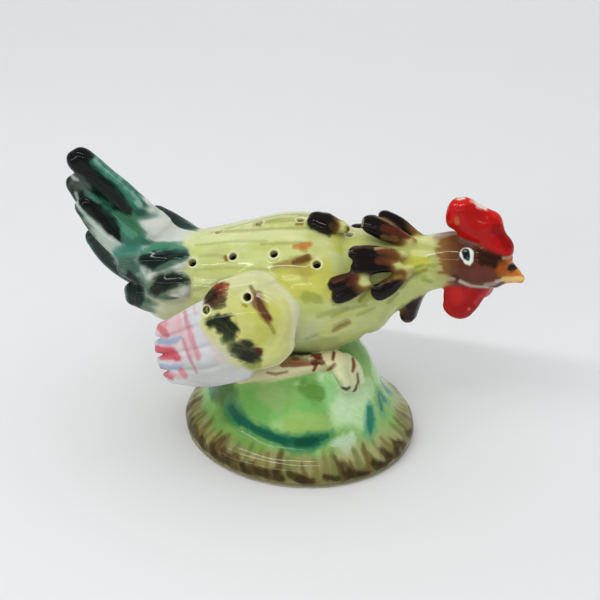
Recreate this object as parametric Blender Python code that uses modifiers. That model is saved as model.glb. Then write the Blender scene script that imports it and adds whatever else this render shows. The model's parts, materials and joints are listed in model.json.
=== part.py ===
"""Glazed ceramic hen that holds cocktail sticks.

A hollow body stands on a hollow domed mound. The wings, the feathers, the comb, the wattles and the
legs are separate clay pieces, fitted to the body with a joint gap. It is one fired object, so
nothing moves. Millimetres below, metres in Blender. +X is where the hen faces, +Z is up, and the
origin is under the middle of the object on the surface that it stands on.
"""

import math

import bmesh
import bpy
from mathutils import Matrix, Vector

MM = 0.001

# Driving dimensions, in millimetres.
JOINT_GAP = 0.3
WALL = 4.0
STICK_HOLE_RADIUS = 1.4
STICK_HOLE_SIDES = 12
DRAIN_RADIUS = 7.5
MOUND_LENGTH = 90.5
MOUND_WIDTH = 78.5
MOUND_TURN = math.radians(-11)
MOUND_MIDDLE = (-0.3, -2.8, 0)
MOUND_STEPS = 44
HEN_SHIFT = (2.6, 1.9, 0)

# The mound's turned section: share of the half length, and height. It runs down the outside,
# across the foot ring and up the inside.
MOUND_OUTSIDE = [
    (0.24, 41.0),
    (0.40, 40.2),
    (0.51, 38.0),
    (0.59, 34.0),
    (0.65, 28.5),
    (0.70, 23.0),
    (0.755, 17.5),
    (0.82, 13.2),
    (0.885, 10.2),
    (0.94, 8.0),
    (0.985, 5.6),
    (1.0, 3.2),
    (0.985, 1.0),
    (0.955, 0.0),
]
MOUND_INSIDE = [
    (0.845, 0.0),
    (0.80, 5.0),
    (0.70, 9.5),
    (0.63, 16.0),
    (0.57, 23.0),
    (0.50, 29.0),
    (0.40, 34.0),
    (0.30, 35.5),
    (0.20, 35.5),
    (0.20, 40.6),
]

# A form is swept along its stations (x, y, z, half width, half thickness), with a rounded cap at
# each end. Its face is the direction that its thickness is measured in.
BODY = {
    "stations": [
        (-57.5, 0, 61.5, 11.5, 12.2),
        (-51, 0, 61, 15.2, 16),
        (-37, 0, 60.6, 18.6, 19.2),
        (-19, 0, 61.3, 22.8, 23.3),
        (-2, 0, 62.8, 25.4, 26),
        (10, 0, 63.8, 24.6, 25),
        (20, 0, 65.6, 21, 21.2),
        (28, 0, 69, 16.8, 16.8),
        (36, 0, 72, 13.2, 13.2),
        (45.5, 0, 75, 10.2, 10.2),
        (53.5, 0, 76.6, 8.6, 8.8),
    ],
    "face": (0, 0, 1),
    "caps": (5.5, 3),
    "rings": 22,
    "segments": 24,
}

HEAD = {
    "stations": [
        (50, 0, 76.8, 8.2, 8.4),
        (57, 0, 77.4, 9.6, 9.8),
        (65, -1, 77.4, 9.2, 9.6),
        (71.3, -2.4, 76.6, 7.2, 7.8),
    ],
    "face": (0, 0, 1),
    "caps": (3, 4),
    "rings": 12,
    "segments": 16,
}

# The beak, the comb and the wattles.
HEAD_PIECES = {
    "beak": {
        "stations": [(70, -2.5, 76, 4.8, 5.4), (75, -3.8, 75.2, 3.5, 3.9), (79, -4.8, 73.9, 1.6, 1.6)],
        "face": (0, 0, 1),
        "caps": (2, 1.4),
    },
    "comb": {
        "stations": [
            (54.5, 0.5, 95.2, 5.6, 3.4),
            (60, -0.2, 93.8, 7.4, 4.4),
            (66.3, -1.2, 89.6, 6.4, 4.6),
            (71.2, -2.3, 84.2, 4.2, 3.8),
            (73, -2.9, 80.8, 2.8, 2.8),
        ],
        "face": (0, 1, 0),
        "caps": (3, 2),
        "rings": 12,
    },
    "wattle_right": {
        "stations": [(61, -5, 71.5, 8, 2.4), (59.6, -6, 66, 7.2, 2.6), (58, -6.6, 61.5, 5.8, 2.5)],
        "face": (0.1, -1, 0.2),
        "caps": (2, 4.8),
    },
    "wattle_left": {
        "stations": [(64, 2.6, 71.5, 7.6, 2.4), (64.6, 3.8, 66.5, 6.6, 2.6), (64.9, 4.4, 63, 5.4, 2.5)],
        "face": (-0.1, 1, 0.2),
        "caps": (2, 4.4),
    },
}

# Pieces on the hen's right, at -Y. The left ones are their mirror images.
WING_PIECES = {
    "wing_shoulder": {
        "stations": [(-18, -23.2, 71.2, 13.4, 5), (-15.4, -26.8, 64, 18, 7), (-12, -30.5, 52.5, 14.5, 6)],
        "face": (0, -1, 0.4),
        "caps": (6, 7.5),
        "rings": 12,
        "segments": 16,
    },
    "flight_feathers": {
        "stations": [(-19, -29.5, 57, 15.8, 4), (-31, -31.4, 52.5, 15.4, 3.8), (-42, -33, 50, 12, 3.2)],
        "face": (-0.1, -0.92, 0.38),
        "caps": (3, 5.5),
        "rings": 12,
        "segments": 16,
    },
}

# The left wing is set lower on the body than the right one, and the left neck feathers are
# set lower and nearer to the head.
LEFT_WING_DROP = 3.0
LEFT_HACKLES_DROP = 2.0
LEFT_HACKLES_FORWARD = 2.5

LEG_PIECES = {
    "leg": {
        "stations": [
            (-19, -23, 36.6, 4.4, 4),
            (-6, -22.5, 39.4, 3.8, 3.8),
            (6, -20.5, 41.4, 3, 3.2),
            (16, -17.4, 41.6, 3.3, 3.4),
        ],
        "face": (0, -0.7, 0.7),
        "caps": (3, 2.4),
    },
}

FOOT_TOES = [
    [(16.8, -18.6, 40.8, 2.8, 2.8), (18.6, -21.6, 37, 2.8, 2.6), (19.8, -22.8, 33.4, 1.8, 1.8)],
    [(18, -17, 40.8, 2.8, 2.8), (20.8, -19.2, 37.2, 2.6, 2.5), (22, -20.8, 32.4, 1.7, 1.7)],
    [(18.2, -15.6, 40.6, 2.8, 2.8), (22, -16.2, 38.2, 2.6, 2.5), (24.4, -17.4, 33.4, 1.7, 1.7)],
]
TOE_CAPS = (2, 1.8)

# The clay fan at the root of the tail, the feathers in its middle plane, and those on its right.
TAIL_ROOT = {
    "stations": [(-43, 0, 70.5, 7.5, 7), (-50.5, 0, 75, 8.8, 6.2), (-57, 0, 80.5, 9.6, 4.8)],
    "face": (0, 1, 0),
    "caps": (3, 3.5),
    "rings": 12,
}

TAIL_MIDDLE = {
    "tail_feather_top": {
        "stations": [
            (-53.6, 0, 80.5, 6.6, 5.4),
            (-62, 0, 89, 6.4, 4.8),
            (-71.4, 0, 98.8, 5.9, 4.2),
            (-78.8, 0, 106.8, 5.1, 3.7),
        ],
        "face": (0, 1, 0),
        "caps": (2, 5.4),
    },
    "tail_feather_upper": {
        "stations": [
            (-56, 0, 72, 6, 5.4),
            (-65, 0, 79.2, 6, 4.8),
            (-75, 0, 89.2, 5.6, 4.2),
            (-81, 0, 97.4, 4.7, 3.6),
        ],
        "face": (0, 1, 0),
        "caps": (2, 4.6),
    },
    "tail_feather_lower": {
        "stations": [
            (-55, 0, 61, 6.4, 6.4),
            (-62.5, 0, 63.6, 6, 5.2),
            (-70.4, 0, 69.2, 5.4, 4.4),
            (-75.8, 0, 75.8, 4.4, 3.6),
        ],
        "face": (0, 1, 0),
        "caps": (2, 4.4),
    },
}

TAIL_SIDE = {
    "tail_side_feather": {
        "stations": [
            (-49, -9, 69, 6.6, 4.4),
            (-60.6, -8.2, 77, 6.4, 4.2),
            (-69.8, -7.4, 85.2, 6, 3.8),
            (-75.8, -6.8, 92.2, 4.8, 3.3),
        ],
        "face": (0.2, -1, 0.1),
        "caps": (2, 4.6),
    },
    "tail_side_covert": {
        "stations": [(-48, -12.2, 69, 6.2, 4.6), (-55.5, -11.2, 70, 6, 4.2), (-61.4, -10, 71.4, 5, 3.6)],
        "face": (0.2, -1, 0.2),
        "caps": (2, 4.6),
    },
    "tail_side_covert_lower": {
        "stations": [(-47.5, -11.5, 58.6, 6.2, 4.6), (-55.5, -10, 58.6, 6, 4.6), (-60.4, -9, 58.4, 5, 3.8)],
        "face": (0.3, -1, 0),
        "caps": (2, 4.4),
    },
    "rump_covert_lower": {
        "stations": [(-40.5, -16.8, 68.6, 4.4, 2.8), (-46.5, -15.8, 67.2, 5.4, 3.6), (-51.5, -14.2, 65.8, 4.8, 3.4)],
        "face": (-0.1, -0.95, 0.3),
        "caps": (3, 4.2),
    },
}

# The covert on the right lies against the rump, and the one on the left stands clear of it.
RUMP_COVERTS = {
    "rump_covert_upper_right": {
        "stations": [(-42.5, -10.4, 75.4, 4, 2.8), (-48.6, -10.4, 75.6, 5, 3.8), (-54, -10.4, 74.8, 4.6, 3.6)],
        "face": (0, -0.6, 0.8),
        "caps": (3, 4.4),
    },
    "rump_covert_upper_left": {
        "stations": [(-40, 12.4, 71.5, 4, 3), (-48.4, 14.4, 74.2, 5.4, 4), (-56, 16.2, 77.6, 5, 3.8)],
        "face": (0, 0.6, 0.8),
        "caps": (3, 4.6),
    },
}

# The raised neck feathers. Each is swept from its root, near the head, to its free tip.
HACKLES_MIDDLE = {
    "hackle_back": {
        "stations": [(14.6, -1.7, 88.2, 2.4, 1.8), (10.2, -2.4, 89.4, 4.6, 2.8), (6.6, -1.9, 90.1, 4, 2.6)],
        "face": (0, -0.25, 1),
        "caps": (3, 4),
    },
    "hackle_crest_right": {
        "stations": [(39, -3.2, 84.8, 2.4, 1.8), (30.6, -3.2, 88.6, 4, 3), (26, -2.9, 90.4, 4, 2.9)],
        "face": (0.2, -0.5, 1),
        "caps": (3, 4.2),
    },
    "hackle_crest_left": {
        "stations": [(41, 2.8, 84.6, 2.2, 1.6), (35, 3.4, 88, 3.2, 2.6), (30.5, 3.6, 90.2, 3, 2.4)],
        "face": (0.2, 0.5, 1),
        "caps": (3, 3.4),
    },
    "hackle_breast": {
        "stations": [(44.6, -4, 69.5, 3.4, 2.6), (41.6, -4, 62, 4.4, 3), (40.2, -4, 55.4, 3.9, 3)],
        "face": (1, -0.4, 0.5),
        "caps": (3, 3.4),
    },
}

HACKLES_SIDE = {
    "hackle_neck_upper": {
        "stations": [(36.5, -9, 82.6, 1.8, 1.6), (27.5, -11.8, 84.6, 2.4, 2.2), (21.6, -13.4, 84.8, 2.5, 2.1)],
        "face": (0, -0.6, 0.8),
        "caps": (3, 3.2),
    },
    "hackle_neck_middle": {
        "stations": [(35, -12.4, 80, 1.8, 1.6), (27.5, -15.4, 80.6, 2.6, 2.2), (23, -16.8, 80.8, 2.7, 2.1)],
        "face": (0, -0.8, 0.6),
        "caps": (3, 3.2),
    },
    "hackle_shoulder_upper": {
        "stations": [(23.6, -18.2, 78.4, 1.8, 1.4), (19, -20.2, 77.6, 2.4, 2), (15.6, -21.4, 76.6, 2.5, 2.1)],
        "face": (0, -0.9, 0.4),
        "caps": (3, 3),
    },
    "hackle_shoulder_lower": {
        "stations": [(24.6, -19.2, 74.8, 1.8, 1.4), (20.2, -21.4, 73.2, 2.6, 2), (17.4, -22.4, 72, 2.5, 2.1)],
        "face": (0, -0.95, 0.2),
        "caps": (3, 3),
    },
    "hackle_throat": {
        "stations": [(39.4, -12.6, 78, 2, 1.6), (34.4, -15.8, 74.4, 3.4, 2.4), (31, -17.3, 72.2, 3.6, 2.5)],
        "face": (0.2, -0.95, -0.2),
        "caps": (3, 3.8),
    },
}

# Stick holes: a point on the surface, and the hole's direction out of it. The ridge row lies
# between the holes of the side rows.
SIDE_ROW_X = [-37.5, -22.5, -7.5, 8]
SIDE_ROW_Y = [-12, -13, -14.6, -17.4]
SIDE_ROW_Z = [75.2, 79.6, 82.6, 81.4]
RIDGE_ROW_X = [-30, -15, 0, 17.5]
RIDGE_ROW_Z = [82, 85.6, 88.6, 87.6]
SIDE_ROW_OUT = (0, -0.65, 0.76)
WING_HOLES = [(-14.8, -29, 73), (-29.4, -29, 66.4)]
WING_HOLE_OUT = (0, -0.86, 0.5)
HOLE_REACH = 12.0
HOLE_PROUD = 8.0
WING_HOLE_REACH = 22.0

# Colours, each with the roughness of a clear glaze.
GLAZES = {
    "body_glaze": (0.72, 0.78, 0.36),
    "head_glaze": (0.22, 0.11, 0.07),
    "beak_glaze": (0.72, 0.30, 0.08),
    "comb_glaze": (0.72, 0.04, 0.04),
    "tail_root_glaze": (0.72, 0.76, 0.66),
    "tail_glaze": (0.06, 0.22, 0.17),
    "hackle_glaze": (0.12, 0.08, 0.06),
    "wing_glaze": (0.76, 0.76, 0.42),
    "flight_feather_glaze": (0.78, 0.72, 0.74),
    "leg_glaze": (0.78, 0.74, 0.50),
    "mound_glaze": (0.36, 0.58, 0.24),
}
GLAZE_ROUGHNESS = 0.12

DEFAULT_SEGMENTS = 12
DEFAULT_RINGS = 10
CAP_RINGS = 3


def make_collections():
    """The collection of the parts, and that of the cutters."""
    found = {}
    for name in ("ceramic_hen", "cutters"):
        found[name] = bpy.data.collections.new(name)
        bpy.context.scene.collection.children.link(found[name])
    return found["ceramic_hen"], found["cutters"]


def make_glaze(name):
    """A glossy ceramic material of one of the GLAZES."""
    material = bpy.data.materials.get(name) or bpy.data.materials.new(name)
    material.use_nodes = True
    shader = material.node_tree.nodes["Principled BSDF"]
    shader.inputs["Base Color"].default_value = (*GLAZES[name], 1)
    shader.inputs["Roughness"].default_value = GLAZE_ROUGHNESS
    shader.inputs["Metallic"].default_value = 0
    return material


def along(stations, place):
    """The smooth station at a place from 0 to the last station's number, by Catmull-Rom."""
    last = len(stations) - 1
    i = min(int(place), last - 1)
    f = place - i
    before, a, b, after = (stations[min(max(k, 0), last)] for k in (i - 1, i, i + 1, i + 2))
    return [
        0.5 * (2 * q + (r - p) * f + (2 * p - 5 * q + 4 * r - s) * f**2 + (3 * q - p - 3 * r + s) * f**3)
        for p, q, r, s in zip(before, a, b, after)
    ]


def direction_at(stations, place):
    """The unit direction of the line through the stations."""
    step = 0.02
    ahead = along(stations, min(place + step, len(stations) - 1))
    behind = along(stations, max(place - step, 0))
    return (Vector(ahead[:3]) - Vector(behind[:3])).normalized()


def ring_place(ring, rings, last, caps):
    """Where a ring lies: its station, how far it is past the end, and its share of full size."""
    if ring < CAP_RINGS:
        turn = math.pi / 2 * ring / CAP_RINGS
        return 0, -caps[0] * math.cos(turn), math.sin(turn)
    if ring > rings - CAP_RINGS:
        turn = math.pi / 2 * (rings - ring) / CAP_RINGS
        return last, caps[1] * math.cos(turn), math.sin(turn)
    return last * (ring - CAP_RINGS) / (rings - 2 * CAP_RINGS), 0, 1


def swept_mesh(name, form, grow=0.0):
    """A UV sphere drawn out along the form's stations. grow makes it larger all over."""
    stations = form["stations"]
    rings = form.get("rings", DEFAULT_RINGS)
    segments = form.get("segments", DEFAULT_SEGMENTS)
    caps = [cap + grow for cap in form["caps"]]
    last = len(stations) - 1
    shape = bmesh.new()
    bmesh.ops.create_uvsphere(shape, u_segments=segments, v_segments=rings, radius=1)
    for vertex in shape.verts:
        ring = round(math.acos(max(-1, min(1, vertex.co.z))) / math.pi * rings)
        turn = math.atan2(vertex.co.y, vertex.co.x)
        place, past, size = ring_place(ring, rings, last, caps)
        x, y, z, half_width, half_thickness = along(stations, place)
        tangent = direction_at(stations, place)
        face = Vector(form["face"])
        face = (face - tangent * face.dot(tangent)).normalized()
        side = tangent.cross(face)
        across = side * math.cos(turn) * (half_width + grow) * size
        through = face * math.sin(turn) * (half_thickness + grow) * size
        vertex.co = (Vector((x, y, z)) + tangent * past + across + through) * MM
    mesh = bpy.data.meshes.new(name)
    shape.to_mesh(mesh)
    shape.free()
    mesh.shade_smooth()
    return mesh


def mirrored(form, drop=0.0, forward=0.0):
    """The same form on the other side of the middle plane, lowered and moved forward."""
    copy = dict(form)
    copy["stations"] = [(x + forward, -y, z - drop, w, t) for x, y, z, w, t in form["stations"]]
    copy["face"] = (form["face"][0], -form["face"][1], form["face"][2])
    return copy


def add_object(name, mesh, collection, parent=None, place=(0, 0, 0)):
    """An object whose origin is at place, in millimetres, with its mesh given in the world."""
    origin = Vector(place) * MM
    mesh.transform(Matrix.Translation(-origin))
    thing = bpy.data.objects.new(name, mesh)
    thing.location = origin
    thing.parent = parent
    collection.objects.link(thing)
    return thing


def as_cutter(thing):
    thing.hide_render = True
    thing.display_type = "WIRE"
    return thing


def boolean(thing, other, operation):
    modifier = thing.modifiers.new(f"{operation.lower()}_{other.name}"[:60], "BOOLEAN")
    modifier.operation = operation
    modifier.object = other
    return modifier


def extent(thing, k):
    values = [thing.location[k] + v.co[k] for v in thing.data.vertices]
    return min(values), max(values)


def boxes_meet(a, b):
    """Whether the boxes around two objects' meshes meet."""
    for k in range(3):
        low_a, high_a = extent(a, k)
        low_b, high_b = extent(b, k)
        if low_a > high_b or low_b > high_a:
            return False
    return True


def fit_to(piece, rooms):
    """Cut the piece back from every earlier piece that it reaches."""
    for room in rooms:
        if boxes_meet(piece, room):
            boolean(piece, room, "DIFFERENCE")


def add_room(name, form, cutters, parent):
    """The form grown by the joint gap, to cut its neighbours with."""
    return as_cutter(add_object(f"room_{name}", swept_mesh(f"room_{name}", form, JOINT_GAP), cutters, parent))


def hole_cutter(name, at, out, cutters, parent, reach, proud=HOLE_PROUD):
    """A cylinder from proud above the surface to reach below it."""
    shape = bmesh.new()
    bmesh.ops.create_cone(
        shape,
        cap_ends=True,
        segments=STICK_HOLE_SIDES,
        radius1=STICK_HOLE_RADIUS * MM,
        radius2=STICK_HOLE_RADIUS * MM,
        depth=(reach + proud) * MM,
    )
    mesh = bpy.data.meshes.new(name)
    shape.to_mesh(mesh)
    shape.free()
    outward = Vector(out).normalized()
    cutter = bpy.data.objects.new(name, mesh)
    cutter.location = (Vector(at) + outward * (proud - reach) / 2) * MM
    cutter.rotation_euler = outward.to_track_quat("Z", "Y").to_euler()
    cutter.parent = parent
    cutters.objects.link(cutter)
    return as_cutter(cutter)


def drain_cutter(cutters, parent):
    """The round opening between the body's hollow and the mound's."""
    shape = bmesh.new()
    bmesh.ops.create_cone(
        shape, cap_ends=True, segments=24, radius1=DRAIN_RADIUS * MM, radius2=DRAIN_RADIUS * MM, depth=20 * MM
    )
    mesh = bpy.data.meshes.new("drain")
    shape.to_mesh(mesh)
    shape.free()
    cutter = bpy.data.objects.new("drain", mesh)
    cutter.location = (0, 0, 40 * MM)
    cutter.parent = parent
    cutters.objects.link(cutter)
    return as_cutter(cutter)


def stick_holes():
    """Every stick hole as (name, point, direction, depth), the body's and then the wings'."""
    body, wings = [], {"right": [], "left": []}
    for i, (x, z) in enumerate(zip(RIDGE_ROW_X, RIDGE_ROW_Z)):
        body.append((f"hole_ridge_{i + 1}", (x, 0, z), (0, 0, 1), HOLE_REACH))
    for side, sign in (("right", 1), ("left", -1)):
        out = (SIDE_ROW_OUT[0], sign * SIDE_ROW_OUT[1], SIDE_ROW_OUT[2])
        for i, (x, y, z) in enumerate(zip(SIDE_ROW_X, SIDE_ROW_Y, SIDE_ROW_Z)):
            body.append((f"hole_{side}_{i + 1}", (x, sign * y, z), out, HOLE_REACH))
        out = (WING_HOLE_OUT[0], sign * WING_HOLE_OUT[1], WING_HOLE_OUT[2])
        for i, (x, y, z) in enumerate(WING_HOLES):
            height = z if sign > 0 else z - LEFT_WING_DROP
            wings[side].append((f"hole_wing_{side}_{i + 1}", (x, sign * y, height), out, WING_HOLE_REACH))
    return body, wings


def turned(name, section, home, parent):
    """A section turned about Z and stretched to the mound's oval."""
    mesh = bpy.data.meshes.new(name)
    half = MOUND_LENGTH / 2
    points = [(share * half * MM, 0, height * MM) for share, height in section]
    count = len(points)
    mesh.from_pydata(points, [(i, (i + 1) % count) for i in range(count)], [])
    thing = bpy.data.objects.new(name, mesh)
    thing.location = Vector(MOUND_MIDDLE) * MM
    thing.scale = (1, MOUND_WIDTH / MOUND_LENGTH, 1)
    thing.rotation_euler = (0, 0, MOUND_TURN)
    thing.parent = parent
    home.objects.link(thing)
    screw = thing.modifiers.new("turn", "SCREW")
    screw.steps = MOUND_STEPS
    screw.render_steps = MOUND_STEPS
    screw.use_merge_vertices = True
    screw.merge_threshold = 0.00001
    screw.use_smooth_shade = True
    return thing


def add_mound(parts, parent):
    """The domed base: a shell, open below and at its top."""
    mound = turned("mound", MOUND_OUTSIDE + MOUND_INSIDE, parts, parent)
    mound.data.materials.append(make_glaze("mound_glaze"))
    return mound


def mound_room(cutters, parent):
    """The room that the legs and feet leave around the mound."""
    share = JOINT_GAP / (MOUND_LENGTH / 2) * 1.1
    section = [(0, MOUND_OUTSIDE[0][1] + JOINT_GAP)]
    section += [(s + share, z + JOINT_GAP) for s, z in MOUND_OUTSIDE[:-2]]
    section += [(1.0, -2), (0, -2)]
    return as_cutter(turned("room_mound", section, cutters, parent))


def add_body(parts, parent):
    """The hollow body, open at the belly, with the stick holes still to be cut."""
    body = add_object("body_shell", swept_mesh("body_shell", BODY), parts, parent, (0, 0, 62))
    shell = body.modifiers.new("wall", "SOLIDIFY")
    shell.thickness = WALL * MM
    shell.offset = -1
    body.data.materials.append(make_glaze("body_glaze"))
    return body


def add_foot(side, sign, parts, cutters, parent):
    """Toes joined at the ankle."""
    toes = []
    for i, stations in enumerate(FOOT_TOES):
        form = {"stations": stations, "face": (1, 0, 1), "caps": TOE_CAPS}
        form = form if sign > 0 else mirrored(form)
        name = f"foot_{side}" if i == 0 else f"foot_{side}_toe_{i + 1}"
        home = parts if i == 0 else cutters
        toes.append(add_object(name, swept_mesh(name, form), home, parent, form["stations"][0][:3]))
    for toe in toes[1:]:
        boolean(toes[0], as_cutter(toe), "UNION")
    toes[0].data.materials.append(make_glaze("leg_glaze"))
    return toes[0]


def both_sides(forms, drop=0.0, forward=0.0):
    """The right and left versions of each form."""
    pairs = []
    for name, form in forms.items():
        pairs += [(f"{name}_right", form), (f"{name}_left", mirrored(form, drop, forward))]
    return pairs


def assembly_order():
    """Every swept piece in the order in which it is fitted: (name, form, glaze)."""
    head_glazes = {"beak": "beak_glaze"}
    wing_glazes = {"wing": "wing_glaze", "flight": "flight_feather_glaze"}
    order = [("head", HEAD, "head_glaze")]
    order += [(name, form, head_glazes.get(name, "comb_glaze")) for name, form in HEAD_PIECES.items()]
    order += [(name, form, wing_glazes[name.split("_")[0]]) for name, form in both_sides(WING_PIECES, LEFT_WING_DROP)]
    order += [(name, form, "leg_glaze") for name, form in both_sides(LEG_PIECES)]
    order.append(("tail_root", TAIL_ROOT, "tail_root_glaze"))
    tail = list(TAIL_MIDDLE.items()) + both_sides(TAIL_SIDE) + list(RUMP_COVERTS.items())
    order += [(name, form, "tail_glaze") for name, form in tail]
    hackles = list(HACKLES_MIDDLE.items())
    hackles += both_sides(HACKLES_SIDE, LEFT_HACKLES_DROP, LEFT_HACKLES_FORWARD)
    order += [(name, form, "hackle_glaze") for name, form in hackles]
    return order


def main():
    for thing in list(bpy.data.objects):
        bpy.data.objects.remove(thing)
    parts, cutters = make_collections()
    hen = bpy.data.objects.new("hen", None)
    hen.location = Vector(HEN_SHIFT) * MM
    parts.objects.link(hen)

    body = add_body(parts, hen)
    body_room = add_room("body", BODY, cutters, hen)
    body_holes, wing_holes = stick_holes()
    boolean(body, drain_cutter(cutters, hen), "DIFFERENCE")
    for name, at, out, reach in body_holes:
        boolean(body, hole_cutter(name, at, out, cutters, hen, reach), "DIFFERENCE")

    mound = add_mound(parts, hen)
    boolean(mound, body_room, "DIFFERENCE")

    base_room = mound_room(cutters, hen)
    rooms = [body_room]
    for name, form, glaze in assembly_order():
        piece = add_object(name, swept_mesh(name, form), parts, hen, form["stations"][0][:3])
        piece.data.materials.append(make_glaze(glaze))
        fit_to(piece, rooms)
        if name.startswith("leg"):
            boolean(piece, base_room, "DIFFERENCE")
        rooms.append(add_room(name, form, cutters, hen))
    for side, sign in (("right", 1), ("left", -1)):
        foot = add_foot(side, sign, parts, cutters, hen)
        fit_to(foot, rooms)
        boolean(foot, base_room, "DIFFERENCE")
    for side, holes in wing_holes.items():
        for name, at, out, reach in holes:
            cutter = hole_cutter(name, at, out, cutters, hen, reach)
            boolean(bpy.data.objects[f"wing_shoulder_{side}"], cutter, "DIFFERENCE")
            boolean(body, cutter, "DIFFERENCE")


main()
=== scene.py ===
"""Looks of the glazed ceramic hen that holds cocktail sticks.

Each clay piece is a closed mesh taken from a distance field. Where two pieces meet, their fields
blend, as slip and glaze fill a luted joint. The painting is worked out in object space, point by
point, and the materials add brush streaks, a faint tone that varies at random, and gloss to it.
"""

import json
import math

import bpy
import numpy as np
from mathutils import Matrix, Vector


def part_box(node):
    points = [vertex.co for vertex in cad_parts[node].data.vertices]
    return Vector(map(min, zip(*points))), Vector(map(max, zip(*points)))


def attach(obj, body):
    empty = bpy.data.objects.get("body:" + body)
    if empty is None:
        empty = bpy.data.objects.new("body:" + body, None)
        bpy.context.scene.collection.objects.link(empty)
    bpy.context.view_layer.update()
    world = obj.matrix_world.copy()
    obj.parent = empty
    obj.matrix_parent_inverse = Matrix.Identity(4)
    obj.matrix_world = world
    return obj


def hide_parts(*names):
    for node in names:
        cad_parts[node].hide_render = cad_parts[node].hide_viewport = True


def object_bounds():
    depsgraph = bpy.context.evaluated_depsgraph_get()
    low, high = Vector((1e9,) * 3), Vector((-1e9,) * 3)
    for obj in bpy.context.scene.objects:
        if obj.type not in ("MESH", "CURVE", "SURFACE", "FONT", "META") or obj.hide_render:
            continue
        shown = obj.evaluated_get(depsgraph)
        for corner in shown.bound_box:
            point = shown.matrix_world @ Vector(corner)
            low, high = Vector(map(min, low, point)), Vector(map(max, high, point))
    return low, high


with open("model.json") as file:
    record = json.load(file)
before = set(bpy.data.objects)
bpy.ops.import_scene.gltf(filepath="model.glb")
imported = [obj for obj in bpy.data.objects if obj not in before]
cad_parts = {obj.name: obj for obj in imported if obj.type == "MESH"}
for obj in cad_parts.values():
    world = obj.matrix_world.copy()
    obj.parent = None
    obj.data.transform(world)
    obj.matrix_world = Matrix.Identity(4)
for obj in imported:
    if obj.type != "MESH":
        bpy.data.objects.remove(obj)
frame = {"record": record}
cad_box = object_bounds()

MM = 0.001

# ---------------------------------------------------------------- design, in millimetres

MOUND_HALF = (45.25, 39.25)
MOUND_TURN = math.radians(-11)
MOUND_MIDDLE = np.array([-0.3, -2.8, 0.0])
MOUND_OUTSIDE = [
    (0.0, 41.2), (0.24, 41.0), (0.40, 40.2), (0.51, 38.0), (0.59, 34.0), (0.65, 28.5), (0.70, 23.0),
    (0.755, 17.5), (0.82, 13.2), (0.885, 10.4), (0.94, 8.6), (0.985, 6.0), (1.0, 3.4), (0.985, 1.2),
    (0.955, 0.0), (0.0, 0.0),
]
MOUND_INSIDE = [
    (0.0, -3.0), (0.845, -3.0), (0.845, 0.0), (0.80, 5.0), (0.70, 9.5), (0.63, 16.0), (0.57, 23.0),
    (0.50, 29.0), (0.40, 34.0), (0.30, 35.5), (0.20, 35.5), (0.0, 35.5),
]
VENT_RADIUS = 0.20 * MOUND_HALF[0]
VENT_FLOOR = 30.0
MOUND_TOP = 43.0
DRAIN_RADIUS = 7.5
DRAIN_MIDDLE = (0, 0, 40)
DRAIN_HALF = 12
WALL = 4.0
HOLE_RADIUS = 1.4
HOLE_OUTER_END = 9.0
BACK_HOLE_DEPTH = 12.0
WING_HOLE_DEPTH = 22.0
EDGE_ROUND = 0.8
HOLE_ROUND = 0.7
LEFT_WING_DROP = 3.0
LEFT_HACKLES_DROP = 2.0
LEFT_HACKLES_FORWARD = 2.5


def form(stations, face, caps):
    """A rounded form along its stations, each (x, y, z, half width, half depth). face is the way that
    its depth points, and caps are the lengths of its rounded ends."""
    return {"stations": stations, "face": face, "caps": caps}


BODY = form(
    [(-57.5, 0, 61.5, 11.5, 12.2), (-51, 0, 61, 15.2, 16), (-37, 0, 60.6, 18.6, 19.2),
     (-19, 0, 61.3, 22.8, 23.3), (-2, 0, 62.8, 25.4, 26), (10, 0, 63.8, 24.6, 25),
     (20, 0, 65.6, 21, 21.2), (28, 0, 69, 16.8, 16.8), (36, 0, 72, 13.2, 13.2),
     (45.5, 0, 75, 10.2, 10.2), (53.5, 0, 76.6, 8.6, 8.8)],
    (0, 0, 1), (5.5, 3))
HEAD = form(
    [(50, 0, 76.8, 8.2, 8.4), (57, 0, 77.4, 9.6, 9.8), (65, -1, 77.4, 9.2, 9.6),
     (71.3, -2.4, 76.6, 7.2, 7.8)],
    (0, 0, 1), (3, 4))
BEAK = form(
    [(70, -2.5, 76, 4.8, 5.4), (75, -3.8, 75.2, 3.5, 3.9), (79, -4.8, 73.9, 1.6, 1.6)], (0, 0, 1), (2, 1.4))
COMB = form(
    [(54.5, 0.5, 95.2, 5.6, 3.4), (60, -0.2, 93.8, 7.4, 4.4), (66.3, -1.2, 89.6, 6.4, 4.6),
     (71.2, -2.3, 84.2, 4.2, 3.8), (73, -2.9, 80.8, 2.8, 2.8)],
    (0, 1, 0), (3, 2))
WATTLE_RIGHT = form(
    [(61, -5, 71.5, 8, 2.4), (59.6, -6, 66, 7.2, 2.6), (58, -6.6, 61.5, 5.8, 2.5)], (0.1, -1, 0.2),
     (2, 4.8))
WATTLE_LEFT = form(
    [(64, 2.6, 71.5, 7.6, 2.4), (64.6, 3.8, 66.5, 6.6, 2.6), (64.9, 4.4, 63, 5.4, 2.5)], (-0.1, 1, 0.2),
     (2, 4.4))
WING_SHOULDER = form(
    [(-18, -23.2, 71.2, 13.4, 5), (-15.4, -26.8, 64, 18, 7), (-12, -30.5, 52.5, 14.5, 6)], (0, -1, 0.4),
     (6, 7.5))
FLIGHT_FEATHERS = form(
    [(-19, -29.5, 57, 15.8, 4), (-31, -31.4, 52.5, 15.4, 3.8), (-42, -33, 50, 12, 3.2)],
    (-0.1, -0.92, 0.38), (3, 5.5))
LEG = form(
    [(-19, -23, 36.6, 4.4, 4), (-6, -22.5, 39.4, 3.8, 3.8), (6, -20.5, 41.4, 3, 3.2),
     (16, -17.4, 41.6, 3.3, 3.4)],
    (0, -0.7, 0.7), (3, 2.4))
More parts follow.
